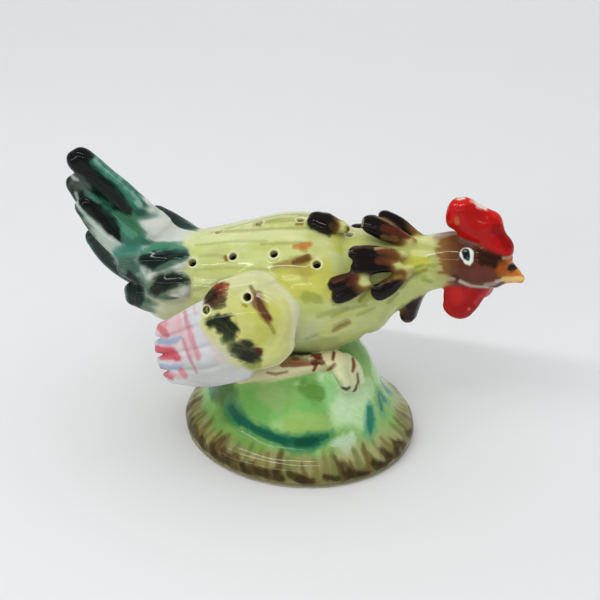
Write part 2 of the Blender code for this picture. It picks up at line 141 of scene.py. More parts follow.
TOES = [
    form([(16.8, -18.6, 40.8, 2.8, 2.8), (18.6, -21.6, 37, 2.8, 2.6),
          (19.8, -22.8, 33.4, 1.8, 1.8)], (1, 0, 1), (2, 1.8)),
    form([(18, -17, 40.8, 2.8, 2.8), (20.8, -19.2, 37.2, 2.6, 2.5),
          (22, -20.8, 32.4, 1.7, 1.7)], (1, 0, 1), (2, 1.8)),
    form([(18.2, -15.6, 40.6, 2.8, 2.8), (22, -16.2, 38.2, 2.6, 2.5),
          (24.4, -17.4, 33.4, 1.7, 1.7)], (1, 0, 1), (2, 1.8)),
]
TAIL_ROOT = form(
    [(-43, 0, 70.5, 7.5, 7), (-50.5, 0, 75, 8.8, 6.2), (-57, 0, 80.5, 9.6, 4.8)], (0, 1, 0), (3, 3.5))
TAIL_MIDDLE = {
    "tail_feather_top": form(
        [(-53.6, 0, 80.5, 6.6, 5.4), (-62, 0, 89, 6.4, 4.8), (-71.4, 0, 98.8, 5.9, 4.2),
         (-78.8, 0, 106.8, 5.1, 3.7)],
        (0, 1, 0), (2, 5.4)),
    "tail_feather_upper": form(
        [(-56, 0, 72, 6, 5.4), (-65, 0, 79.2, 6, 4.8), (-75, 0, 89.2, 5.6, 4.2), (-81, 0, 97.4, 4.7, 3.6)],
        (0, 1, 0), (2, 4.6)),
    "tail_feather_lower": form(
        [(-55, 0, 61, 6.4, 6.4), (-62.5, 0, 63.6, 6, 5.2), (-70.4, 0, 69.2, 5.4, 4.4),
         (-75.8, 0, 75.8, 4.4, 3.6)],
        (0, 1, 0), (2, 4.4)),
}
TAIL_SIDE = {
    "tail_side_feather": form(
        [(-49, -9, 69, 6.6, 4.4), (-60.6, -8.2, 77, 6.4, 4.2), (-69.8, -7.4, 85.2, 6, 3.8),
         (-75.8, -6.8, 92.2, 4.8, 3.3)],
        (0.2, -1, 0.1), (2, 4.6)),
    "tail_side_covert": form(
        [(-48, -12.2, 69, 6.2, 4.6), (-55.5, -11.2, 70, 6, 4.2),
         (-61.4, -10, 71.4, 5, 3.6)], (0.2, -1, 0.2), (2, 4.6)),
    "tail_side_covert_lower": form(
        [(-47.5, -11.5, 58.6, 6.2, 4.6), (-55.5, -10, 58.6, 6, 4.6),
         (-60.4, -9, 58.4, 5, 3.8)], (0.3, -1, 0), (2, 4.4)),
    "rump_covert_lower": form(
        [(-40.5, -16.8, 68.6, 4.4, 2.8), (-46.5, -15.8, 67.2, 5.4, 3.6), (-51.5, -14.2, 65.8, 4.8, 3.4)],
        (-0.1, -0.95, 0.3), (3, 4.2)),
}
RUMP_COVERTS = {
    "rump_covert_upper_right": form(
        [(-42.5, -10.4, 75.4, 4, 2.8), (-48.6, -10.4, 75.6, 5, 3.8), (-54, -10.4, 74.8, 4.6, 3.6)],
        (0, -0.6, 0.8), (3, 4.4)),
    "rump_covert_upper_left": form(
        [(-40, 12.4, 71.5, 4, 3), (-48.4, 14.4, 74.2, 5.4, 4),
         (-56, 16.2, 77.6, 5, 3.8)], (0, 0.6, 0.8), (3, 4.6)),
}
HACKLES_MIDDLE = {
    "hackle_back": form(
        [(14.6, -1.7, 88.2, 2.4, 1.8), (10.2, -2.4, 89.4, 4.6, 2.8),
         (6.6, -1.9, 90.1, 4, 2.6)], (0, -0.25, 1), (3, 4)),
    "hackle_crest_right": form(
        [(39, -3.2, 84.8, 2.4, 1.8), (30.6, -3.2, 88.6, 4, 3),
         (26, -2.9, 90.4, 4, 2.9)], (0.2, -0.5, 1), (3, 4.2)),
    "hackle_crest_left": form(
        [(41, 2.8, 84.6, 2.2, 1.6), (35, 3.4, 88, 3.2, 2.6), (30.5, 3.6, 90.2, 3, 2.4)], (0.2, 0.5, 1),
         (3, 3.4)),
    "hackle_breast": form(
        [(44.6, -4, 69.5, 3.4, 2.6), (41.6, -4, 62, 4.4, 3), (40.2, -4, 55.4, 3.9, 3)], (1, -0.4, 0.5),
         (3, 3.4)),
}
HACKLES_SIDE = {
    "hackle_neck_upper": form(
        [(36.5, -9, 82.6, 1.8, 1.6), (27.5, -11.8, 84.6, 2.4, 2.2),
         (21.6, -13.4, 84.8, 2.5, 2.1)], (0, -0.6, 0.8), (3, 3.2)),
    "hackle_neck_middle": form(
        [(35, -12.4, 80, 1.8, 1.6), (27.5, -15.4, 80.6, 2.6, 2.2),
         (23, -16.8, 80.8, 2.7, 2.1)], (0, -0.8, 0.6), (3, 3.2)),
    "hackle_shoulder_upper": form(
        [(23.6, -18.2, 78.4, 1.8, 1.4), (19, -20.2, 77.6, 2.4, 2),
         (15.6, -21.4, 76.6, 2.5, 2.1)], (0, -0.9, 0.4), (3, 3)),
    "hackle_shoulder_lower": form(
        [(24.6, -19.2, 74.8, 1.8, 1.4), (20.2, -21.4, 73.2, 2.6, 2),
         (17.4, -22.4, 72, 2.5, 2.1)], (0, -0.95, 0.2), (3, 3)),
    "hackle_throat": form(
        [(39.4, -12.6, 78, 2, 1.6), (34.4, -15.8, 74.4, 3.4, 2.4), (31, -17.3, 72.2, 3.6, 2.5)],
        (0.2, -0.95, -0.2), (3, 3.8)),
}

SIDE_HOLES = [(-37.5, -12, 75.2), (-22.5, -13, 79.6), (-7.5, -14.6, 82.6), (8, -17.4, 81.4)]
RIDGE_HOLES = [(-30, 0, 82), (-15, 0, 85.6), (0, 0, 88.6), (17.5, 0, 87.6)]
WING_HOLES = [(-14.8, -29, 73), (-29.4, -29, 66.4)]
SIDE_HOLE_OUT = (0, -0.65, 0.76)
WING_HOLE_OUT = (0, -0.86, 0.5)


def mirrored(shape, drop=0.0, forward=0.0):
    """The same form on the left side."""
    stations = [(x + forward, -y, z - drop, w, t) for x, y, z, w, t in shape["stations"]]
    face = shape["face"]
    return form(stations, (face[0], -face[1], face[2]), shape["caps"])


# ---------------------------------------------------------------- noise

_lattice = np.random.default_rng(11).random((32, 32, 32)).astype(np.float32)


def noise(points, scale, seed=0):
    """Smooth value noise from 0 to 1. scale is the size of its cells, one number or one an axis."""
    q = points / np.asarray(scale, dtype=np.float32) + seed * 7.31 + 1000.0
    base = np.floor(q).astype(np.int64)
    f = q - base
    f = f * f * (3 - 2 * f)
    total = 0
    for corner in range(8):
        offset = ((corner >> 2) & 1, (corner >> 1) & 1, corner & 1)
        index = (base + offset) & 31
        weight = 1.0
        for k in range(3):
            weight = weight * (f[..., k] if offset[k] else 1 - f[..., k])
        total = total + weight * _lattice[index[..., 0], index[..., 1], index[..., 2]]
    return total


def smooth(x, low, high):
    """0 below low, 1 above high, and an even bend between them."""
    t = np.clip((x - low) / (high - low), 0, 1)
    return t * t * (3 - 2 * t)


def bell(x, middle, width):
    return np.exp(-(((x - middle) / width) ** 2))


def dot(a, b):
    return np.einsum("...k,...k", a, b)


def segment(points, a, b):
    """Where along a leg from a to b each point is, 0 to 1, and its offset from the leg."""
    leg = b - a
    t = np.clip(((points - a) @ leg) / (leg @ leg), 0, 1)
    return t, points - a - t[:, None] * leg


# ---------------------------------------------------------------- distance fields

SPINE_SAMPLES = 64


def catmull(stations, place):
    """A smooth curve through the stations, at places counted in stations."""
    last = len(stations) - 1
    i = np.minimum(place.astype(int), last - 1)
    f = (place - i)[:, None]
    p, q, r, s = (stations[np.clip(i + k, 0, last)] for k in (-1, 0, 1, 2))
    return 0.5 * (2 * q + (r - p) * f + (2 * p - 5 * q + 4 * r - s) * f**2 + (3 * q - p - 3 * r + s) * f**3)


class Sweep:
    """A form's spine, sampled evenly, and the coordinates of points along and across it."""

    def __init__(self, shape):
        stations = np.array(shape["stations"], dtype=float)
        rows = catmull(stations, np.linspace(0, len(stations) - 1, 400))
        travelled = np.concatenate([[0], np.cumsum(np.linalg.norm(np.diff(rows[:, :3], axis=0), axis=1))])
        self.length = travelled[-1]
        self.at = np.linspace(0, self.length, SPINE_SAMPLES)
        rows = np.stack([np.interp(self.at, travelled, rows[:, k]) for k in range(5)], axis=1)
        self.middle, self.width, self.depth = rows[:, :3], rows[:, 3], rows[:, 4]
        tangent = np.gradient(self.middle, self.at, axis=0)
        self.tangent = tangent / np.linalg.norm(tangent, axis=1, keepdims=True)
        face = np.array(shape["face"], dtype=float)
        face = face - self.tangent * (self.tangent @ face)[:, None]
        self.face = face / np.linalg.norm(face, axis=1, keepdims=True)
        self.side = np.cross(self.tangent, self.face)
        self.caps = shape["caps"]

    def _row(self, values, s):
        return np.stack([np.interp(s, self.at, values[:, k]) for k in range(3)], axis=-1)

    def locate(self, points):
        """Along the spine in mm, and the offsets along, sideways and through, in mm."""
        chord = self.middle[-1] - self.middle[0]
        s = ((points - self.middle[0]) @ chord) / (chord @ chord) * self.length
        s = np.clip(s, 0, self.length)
        for _ in range(3):
            away = points - self._row(self.middle, s)
            s = np.clip(s + dot(away, self._row(self.tangent, s)), 0, self.length)
        away = points - self._row(self.middle, s)
        return (s, *(dot(away, self._row(axis, s)) for axis in (self.tangent, self.side, self.face)))

    def distance(self, parts, cap_scale=1.0):
        """Signed distance of points that locate has placed. cap_scale shortens the far cap."""
        s, along, across, through = parts
        width = np.interp(s, self.at, self.width)
        depth = np.interp(s, self.at, self.depth)
        past = np.where(along < 0, self.caps[0], self.caps[1] * cap_scale)
        k0 = np.sqrt((across / width) ** 2 + (through / depth) ** 2 + (along / past) ** 2) + 1e-6
        k1 = np.sqrt((across / width**2) ** 2 + (through / depth**2) ** 2 + (along / past**2) ** 2) + 1e-6
        return k0 * (k0 - 1) / k1

    def box(self, margin):
        """The corners of a box that holds the form and a margin round it."""
        reach = np.maximum(self.width, self.depth)[:, None] + max(self.caps) * 0.3
        ends = np.stack([
            self.middle[0] - self.tangent[0] * self.caps[0],
            self.middle[-1] + self.tangent[-1] * self.caps[1]])
        low = np.minimum((self.middle - reach).min(0), ends.min(0)) - margin
        high = np.maximum((self.middle + reach).max(0), ends.max(0)) + margin
        return low, high


def section_table(profile, step=0.22, r_max=60.0, z_low=-12.0, z_high=60.0):
    """Signed distance to a turned section, on a grid over radius and height."""
    points = np.array(profile, dtype=float) * (MOUND_HALF[0], 1)
    fine = catmull(points, np.linspace(0, len(points) - 1, 14 * len(points)))
    fine[:, 0] = np.maximum(fine[:, 0], 0)
    r = np.arange(0, r_max, step)
    z = np.arange(z_low, z_high, step)
    grid = np.stack(np.meshgrid(r, z, indexing="ij"), -1).reshape(-1, 2)
    nearest = np.full(len(grid), 1e9)
    inside = np.zeros(len(grid), bool)
    for a, b in zip(fine, np.roll(fine, -1, axis=0)):
        leg = b - a
        if leg @ leg < 1e-12:
            continue
        on_axis = a[0] < 1e-6 and b[0] < 1e-6
        if not on_axis:
            nearest = np.minimum(nearest, np.linalg.norm(segment(grid, a, b)[1], axis=1))
        crosses = (a[1] > grid[:, 1]) != (b[1] > grid[:, 1])
        with np.errstate(divide="ignore", invalid="ignore"):
            edge = a[0] + (grid[:, 1] - a[1]) / leg[1] * leg[0]
        inside ^= crosses & (grid[:, 0] < edge)
    return np.where(inside, -nearest, nearest).reshape(len(r), len(z)), step, z_low


def table_lookup(table, r, z):
    """The distance at radius r and height z, between the table's entries."""
    values, step, z_low = table
    x = np.clip(r / step, 0, values.shape[0] - 1.001)
    y = np.clip((z - z_low) / step, 0, values.shape[1] - 1.001)
    i, j = x.astype(int), y.astype(int)
    fx, fy = x - i, y - j
    return (
        values[i, j] * (1 - fx) * (1 - fy) + values[i + 1, j] * fx * (1 - fy)
        + values[i, j + 1] * (1 - fx) * fy + values[i + 1, j + 1] * fx * fy
    )


def mound_polar(points):
    """The share of the oval's radius, and the bearing, of points."""
    x, y = points[..., 0] - MOUND_MIDDLE[0], points[..., 1] - MOUND_MIDDLE[1]
    c, s = math.cos(MOUND_TURN), math.sin(MOUND_TURN)
    a, b = (x * c + y * s) / MOUND_HALF[0], (-x * s + y * c) / MOUND_HALF[1]
    return np.hypot(a, b), np.arctan2(b, a)


def cylinder(points, at, out, radius, low, high):
    """Signed distance to a cylinder about the line through at along out."""
    out = np.array(out, dtype=float)
    out /= np.linalg.norm(out)
    away = points - np.array(at, dtype=float)
    height = away @ out
    across = np.linalg.norm(away - height[..., None] * out, axis=-1)
    return np.maximum(across - radius, np.maximum(low - height, height - high)), across, height


def blend_min(a, b, width):
    """The smaller of two distances, rounded where they are within width of each other."""
    h = np.maximum(width - np.abs(a - b), 0) / width
    return np.minimum(a, b) - h * h * h * width / 6


def blend_max(a, b, width):
    return -blend_min(-a, -b, width)


# ---------------------------------------------------------------- pieces

class Piece:
    """A clay piece: its field, the width of its blend into its neighbours, and its voxel."""

    def __init__(self, name, shapes, blend, voxel):
        self.name, self.blend, self.voxel = name, blend, voxel
        self.sweeps = [Sweep(shape) for shape in shapes]

    def box(self, margin):
        boxes = [sweep.box(margin) for sweep in self.sweeps]
        return np.min([b[0] for b in boxes], axis=0), np.max([b[1] for b in boxes], axis=0)

    def distance(self, points):
        total = None
        for sweep in self.sweeps:
            d = modelled(self.name, sweep, points)
            total = d if total is None else blend_min(total, d, 1.2)
        return total


class Mound:
    name, blend, voxel = "mound", 3.0, 0.55

    def __init__(self):
        self.outside = section_table(MOUND_OUTSIDE)
        self.inside = section_table(MOUND_INSIDE)
        self.sweeps = []

    def box(self, margin):
        reach = MOUND_HALF[0] + 1
        low = MOUND_MIDDLE + (-reach, -reach, -1.5) - margin
        return low, MOUND_MIDDLE + (reach, reach, MOUND_TOP) + margin

    def distance(self, points):
        share, bearing = mound_polar(points)
        d = table_lookup(self.outside, share * MOUND_HALF[0], points[..., 2])
        lumps = noise(points, 16.0, 3) - 0.5
        rim = bell(points[..., 2], 7, 5) * np.sin(bearing * 17 + 3 * lumps) * 0.12
        return d + 0.35 - 0.9 * lumps * smooth(points[..., 2], 2, 14) - rim

    def hollow(self, points):
        """Signed distance to the space under the mound."""
        share, _ = mound_polar(points)
        return table_lookup(self.inside, share * MOUND_HALF[0], points[..., 2])


def modelled(name, sweep, points):
    """A sweep's distance with the tool marks of its kind of piece."""
    parts = sweep.locate(points)
    s, _, across, through = parts

    def bumps(scale, seed):
        return noise(points, scale, seed) - 0.5

    width = np.interp(s, sweep.at, sweep.width)
    side = across / width
    if name.startswith("flight"):
        # Four long feathers with rounded ends.
        finger = np.abs(np.sin(side * 2 * math.pi))
        groove = bell(finger, 0, 0.32)
        fade = smooth(s, sweep.length * 0.15, sweep.length * 0.6)
        d = sweep.distance(parts, 1 - 0.35 * groove)
        fine = np.sin(side * 26 + 3 * noise(points, 9.0, 5))
        return d + groove * fade * 0.75 + fine * 0.03
    d = sweep.distance(parts)
    if name == "body_shell":
        turn = np.arctan2(across, through)
        wander = noise(points, (24.0, 12.0, 12.0), 4) * 3
        ridges = np.sin(turn * 15 + wander) * 0.5 + np.sin(turn * 27 - wander * 2) * 0.3
        upper = smooth(np.cos(turn), -0.4, 0.5)
        front = 1 - smooth(points[..., 0], 40, 50)
        return d - ridges * 0.14 * (0.25 + 0.75 * upper) * front + bumps(14.0, 9) * 0.6
    if name.startswith("wing"):
        reach = np.sqrt((across / width) ** 2 + ((s / sweep.length) - 0.5) ** 2 * 1.9)
        return d - bell(reach, 0.86, 0.07) * 0.25 + bumps(9.0, 2) * 0.8
    if name == "comb":
        lobe = np.sin(s * 0.62 + 0.6)
        return d - lobe * 0.7 * smooth(side, -0.2, 0.8) + bumps(6.0, 6) * 1.1
    if name.startswith("wattle"):
        return d + bumps(4.0, 8) * 0.8
    if name.startswith("hackle") or name.startswith("rump"):
        veins = np.cos(side * 8 + 1.5 * noise(points, 5.0, 1))
        return d + veins * 0.07 * smooth(s, 1, sweep.length * 0.5) + bumps(5.0, 3) * 0.4
    if name.startswith("tail_root"):
        return d + bumps(8.0, 3) * 1.0
    if name.startswith("tail"):
        veins = np.cos(side * 5 + 1.0 * noise(points, 8.0, 1))
        return d + veins * 0.22 * smooth(s, 3, sweep.length * 0.6) + bumps(7.0, 3) * 0.7
    if name.startswith("leg"):
        bands = bell((s + 1.2) % 9.0, 4.5, 0.7)
        return d - bands * 0.25 + bumps(5.0, 3) * 0.5
    if name.startswith("foot"):
        return d + bumps(3.0, 3) * 0.4
    if name == "head":
        plane = painters_plane(points)
        lids = shape_cover(plane, EYE, 0.4) - 0.7 * shape_cover(plane, PUPIL, 0.4)
        return d + bumps(9.0, 3) * 0.5 - 0.35 * lids
    return d


def holes():
    """Every stick hole: point, direction out, and how deep it goes."""
    found = [(at, (0, 0, 1), BACK_HOLE_DEPTH) for at in RIDGE_HOLES]
    for sign in (1, -1):
        flip = np.array([1, sign, 1])
        drop = (0, 0, 0 if sign > 0 else LEFT_WING_DROP)
        side_out, wing_out = SIDE_HOLE_OUT * flip, WING_HOLE_OUT * flip
        found += [(at * flip, side_out, BACK_HOLE_DEPTH) for at in SIDE_HOLES]
        found += [(at * flip - drop, wing_out, WING_HOLE_DEPTH) for at in WING_HOLES]
    return found


HOLES = holes()
PIERCED = (
    "body_shell", "wing", "flight", "rump", "tail_root", "hackle_back", "hackle_crest", "tail_side_covert")
REACH = 2.6  # how far a piece goes into its neighbours
DIVE = 0.10  # how fast it falls away from the shared surface there
FILLET = 1.6  # how much wider the glaze makes every blend


def pair(name, forms, *moved):
    return [(f"{name}_right", forms), (f"{name}_left", [mirrored(shape, *moved) for shape in forms])]


def make_pieces():
    groups = [
        # forms by name, the width of the blend into the neighbours, the voxel
        ([("body_shell", [BODY])], 3.0, 0.55),
        ([("head", [HEAD])], 4.0, 0.36),
        ([("beak", [BEAK])], 1.6, 0.26),
        ([("comb", [COMB])], 1.4, 0.34),
        ([("wattle_right", [WATTLE_RIGHT]), ("wattle_left", [WATTLE_LEFT])], 1.2, 0.34),
        (pair("wing_shoulder", [WING_SHOULDER], LEFT_WING_DROP), 2.2, 0.42),
        (pair("flight_feathers", [FLIGHT_FEATHERS], LEFT_WING_DROP), 2.0, 0.42),
        (pair("leg", [LEG]), 2.4, 0.36),
        (pair("foot", TOES), 2.0, 0.34),
        ([("tail_root", [TAIL_ROOT])], 4.0, 0.42),
        ([(name, [shape]) for name, shape in TAIL_MIDDLE.items()], 1.3, 0.42),
        *((pair(name, [shape]), 1.3, 0.42) for name, shape in TAIL_SIDE.items()),
        ([(name, [shape]) for name, shape in RUMP_COVERTS.items()], 2.4, 0.40),
        ([(name, [shape]) for name, shape in HACKLES_MIDDLE.items()], 1.5, 0.36),
        *((pair(name, [shape], LEFT_HACKLES_DROP, LEFT_HACKLES_FORWARD), 2.0, 0.36)
          for name, shape in HACKLES_SIDE.items()),
    ]
    return [Mound()] + [Piece(*row, blend, voxel) for rows, blend, voxel in groups for row in rows]


def clay(piece, pieces, points):
    """The piece's own closed field at points: the blended whole, cut off inside its neighbours."""
    mine = piece.distance(points)
    union = np.full(len(points), 1e3)
    others = np.full(len(points), 1e3)
    low, high = points.min(0), points.max(0)
    for other in pieces:
        if other is piece:
            union = blend_min(union, mine, piece.blend * FILLET)
            continue
        o_low, o_high = other.bounds
        if np.any(o_low > high) or np.any(o_high < low):
            continue
        near = np.flatnonzero(np.all((points >= o_low) & (points <= o_high), axis=1))
        if len(near) == 0:
            continue
        theirs = other.distance(points[near])
        others[near] = np.minimum(others[near], theirs)
        union[near] = blend_min(union[near], theirs, other.blend * FILLET)
    beyond = np.maximum(mine - others, 0)
    result = np.maximum(union + DIVE * beyond**2, -others - REACH)
    return with_openings(piece, points, result, mine)


def with_openings(piece, points, result, mine):
    """Cut the hollow, the stick holes, the drain and the vent."""
    if piece.name == "body_shell":
        result = blend_max(result, -(mine + WALL), EDGE_ROUND)
        drain, _, _ = cylinder(points, DRAIN_MIDDLE, (0, 0, 1), DRAIN_RADIUS, -DRAIN_HALF, DRAIN_HALF)
        result = blend_max(result, -drain, EDGE_ROUND)
    if piece.name == "mound":
        result = blend_max(result, -piece.hollow(points), EDGE_ROUND)
        share, _ = mound_polar(points)
        vent = np.maximum(share * MOUND_HALF[0] - VENT_RADIUS, VENT_FLOOR - points[:, 2])
        result = np.maximum(blend_max(result, -vent, EDGE_ROUND), -points[:, 2])
    if piece.name.startswith(PIERCED):
        for at, out, deep in HOLES:
            bore, across, height = cylinder(points, at, out, HOLE_RADIUS, -deep, HOLE_OUTER_END)
            rim = bell(across, HOLE_RADIUS + 0.7, 0.55) * smooth(height, -9, -5)
            result = blend_max(result - rim * 0.3, -bore, HOLE_ROUND)
    return result


# ---------------------------------------------------------------- meshing

CORNERS = [(i, j, k) for i in (0, 1) for j in (0, 1) for k in (0, 1)]
EDGES = [
    (a, b) for a in range(8) for b in range(a + 1, 8)
    if sum(x != y for x, y in zip(CORNERS[a], CORNERS[b])) == 1
]
COARSE = 4


def finer(values, axis):
    """A coarse grid spread over a finer one, along one axis."""
    last = values.shape[axis] - 1
    at = np.arange(last * COARSE + 1) / COARSE
    i = np.minimum(at.astype(int), last - 1)
    shape = [1, 1, 1]
    shape[axis] = -1
    f = (at - i).reshape(shape)
    return np.take(values, i, axis) * (1 - f) + np.take(values, i + 1, axis) * f


def grid_of(low, step, shape):
    axes = [low[k] + step * np.arange(shape[k]) for k in range(3)]
    return np.stack(np.meshgrid(*axes, indexing="ij"), -1).reshape(-1, 3)


def field_of(piece, pieces):
    """The piece's field on a grid: worked out fully near its surface, and coarsely elsewhere."""
    voxel = piece.voxel
    low, high = piece.box(1.5)
    shape = np.ceil((high - low) / (voxel * COARSE)).astype(int) + 1
    values = clay(piece, pieces, grid_of(low, voxel * COARSE, shape)).reshape(shape)
    for axis in range(3):
        values = finer(values, axis)
    near = np.abs(values) < voxel * COARSE * 1.25
    values[near] = clay(piece, pieces, low + voxel * np.argwhere(near))
    return values, low


def surface_net(values, low, voxel):
    """Vertices and quads of the surface where values change sign."""
    inside = values < 0
    shape = np.array(values.shape) - 1
    count = np.zeros(shape, np.int8)
    for i, j, k in CORNERS:
        count += inside[i:i + shape[0], j:j + shape[1], k:k + shape[2]]
    active = (count > 0) & (count < 8)
    cells = np.argwhere(active)
    number = np.full(shape, -1, np.int64)
    number[active] = np.arange(len(cells))
    corner = np.stack([values[cells[:, 0] + i, cells[:, 1] + j, cells[:, 2] + k] for i, j, k in CORNERS], 1)
    total = np.zeros((len(cells), 3))
    hits = np.zeros(len(cells))
    for a, b in EDGES:
        va, vb = corner[:, a], corner[:, b]
        cross = (va < 0) != (vb < 0)
        t = np.where(cross, va / np.where(cross, va - vb, 1), 0)
        start, end = np.array(CORNERS[a], float), np.array(CORNERS[b], float)
        total += np.where(cross[:, None], start + t[:, None] * (end - start), 0)
        hits += cross
    points = low + voxel * (cells + total / hits[:, None])
    quads = []
    for axis in range(3):
        u, v = (axis + 1) % 3, (axis + 2) % 3
        first, second = [slice(None)] * 3, [slice(None)] * 3
        first[axis], second[axis] = slice(0, -1), slice(1, None)
        a, b = inside[tuple(first)], inside[tuple(second)]
        at = np.argwhere(a != b)
        keep = (at[:, u] > 0) & (at[:, v] > 0) & (at[:, u] < shape[u]) & (at[:, v] < shape[v])
        at = at[keep]
        outward = a[tuple(at.T)]
        ring = []
        for du, dv in ((-1, -1), (0, -1), (0, 0), (-1, 0)):
            cell = at.copy()
            cell[:, u] += du
            cell[:, v] += dv
            ring.append(number[tuple(cell.T)])
        ring = np.stack(ring, 1)
        quads.append(np.where(outward[:, None], ring, ring[:, ::-1]))
    return points, np.concatenate(quads)


def sample_grid(values, low, voxel, points):
    """The grid's value at points, between its own."""
    q = np.clip((points - low) / voxel, 0, np.array(values.shape) - 1.001)
    base = q.astype(int)
    f = q - base
    total = 0
    for corner in CORNERS:
        weight = 1.0
        for k in range(3):
            weight = weight * (f[:, k] if corner[k] else 1 - f[:, k])
        i, j, k = (base[:, n] + corner[n] for n in range(3))
        total = total + weight * values[i, j, k]
    return total


def settle(points, values, low, voxel, piece, pieces):
    """Move the points onto the true surface, which takes the grid's facets out."""
    slope = np.stack([
        sample_grid(values, low, voxel, points + step) - sample_grid(values, low, voxel, points - step)
        for step in np.eye(3) * voxel * 0.5], 1) / voxel
    size = np.maximum((slope**2).sum(1), 0.3)
    for _ in range(2):
        here = clay(piece, pieces, points)
        points = points - np.clip(here / size, -voxel * 0.4, voxel * 0.4)[:, None] * slope
    return points


# ---------------------------------------------------------------- painting

def painters_plane(points):
    """Each side of the hen as its painter sees it, a little from above: across and up, in mm."""
    x, y, z = points[:, 0], np.abs(points[:, 1]), points[:, 2]
    return np.stack([0.99 * x - 0.139 * y, -0.074 * x - 0.525 * y + 0.848 * z], 1)


STROKE_SEED = 0.37  # how far apart the seeds of a group's strokes are


def brushed(at, path, seed):
    """How much paint a stroke leaves, 0 to 1. path is a list of (across, up, half width)."""
    path = np.array(path, dtype=float)
    if len(path) == 1:
        path = np.concatenate([path, path + (0.01, 0, 0)])
    widest = path[:, 2].max()
    reach = widest + 1.5
    low, high = path[:, :2].min(0) - reach, path[:, :2].max(0) + reach
    near = np.flatnonzero(np.all((at > low) & (at < high), axis=1))
    cover = np.zeros(len(at))
    if len(near) == 0:
        return cover
    q = at[near]
    best, along, aside = np.full(len(q), 1e9), np.zeros(len(q)), np.zeros(len(q))
    travelled = 0.0
    for a, b in zip(path[:-1], path[1:]):
        leg = b[:2] - a[:2]
        span = np.linalg.norm(leg)
        t, off = segment(q, a[:2], b[:2])
        distance = np.linalg.norm(off, axis=1) - (a[2] + (b[2] - a[2]) * t) * 1.15
        closer = distance < best
        best = np.where(closer, distance, best)
        along = np.where(closer, travelled + t * span, along)
        aside = np.where(closer, (leg[0] * off[:, 1] - leg[1] * off[:, 0]) / span, aside)
        travelled += span
    size = min(widest, 2.0)
    soft = 0.25 + 0.35 * widest
    flat = np.full(len(q), seed)
    ragged = noise(np.c_[q, flat], 1.6, seed) - 0.5
    bristle = noise(np.c_[along / 5.0, aside / 0.5, flat], 1.0, seed) - 0.5
    hairs = noise(np.c_[along / 7.0, aside / 0.35, flat + 9], 1.0, seed) - 0.5
    edge = 0.2 + size * (0.15 - ragged * 0.7 - bristle * 0.7 - hairs * 0.5)
    cover[near] = smooth(edge - best, -soft, soft) * np.clip(1.02 + bristle * 0.5 + hairs * 0.45, 0, 1)
    return cover


def tint(colours, colour, cover):
    """Move the colours towards one colour, as far as cover says."""
    colours += (np.array(colour) / 255 - colours) * cover[:, None]


def lay(colours, at, mask, strokes, seed=0):
    """Paint the strokes, each a colour, its strength and its path, in their order."""
    for n, (colour, strength, path) in enumerate(strokes):
        tint(colours, colour, brushed(at, path, seed + n * STROKE_SEED) * strength * mask)


def mixed(a, b, share):
    """Colours from a to b, out of 255."""
    return np.array(a) + np.subtract(b, a) * share[:, None]


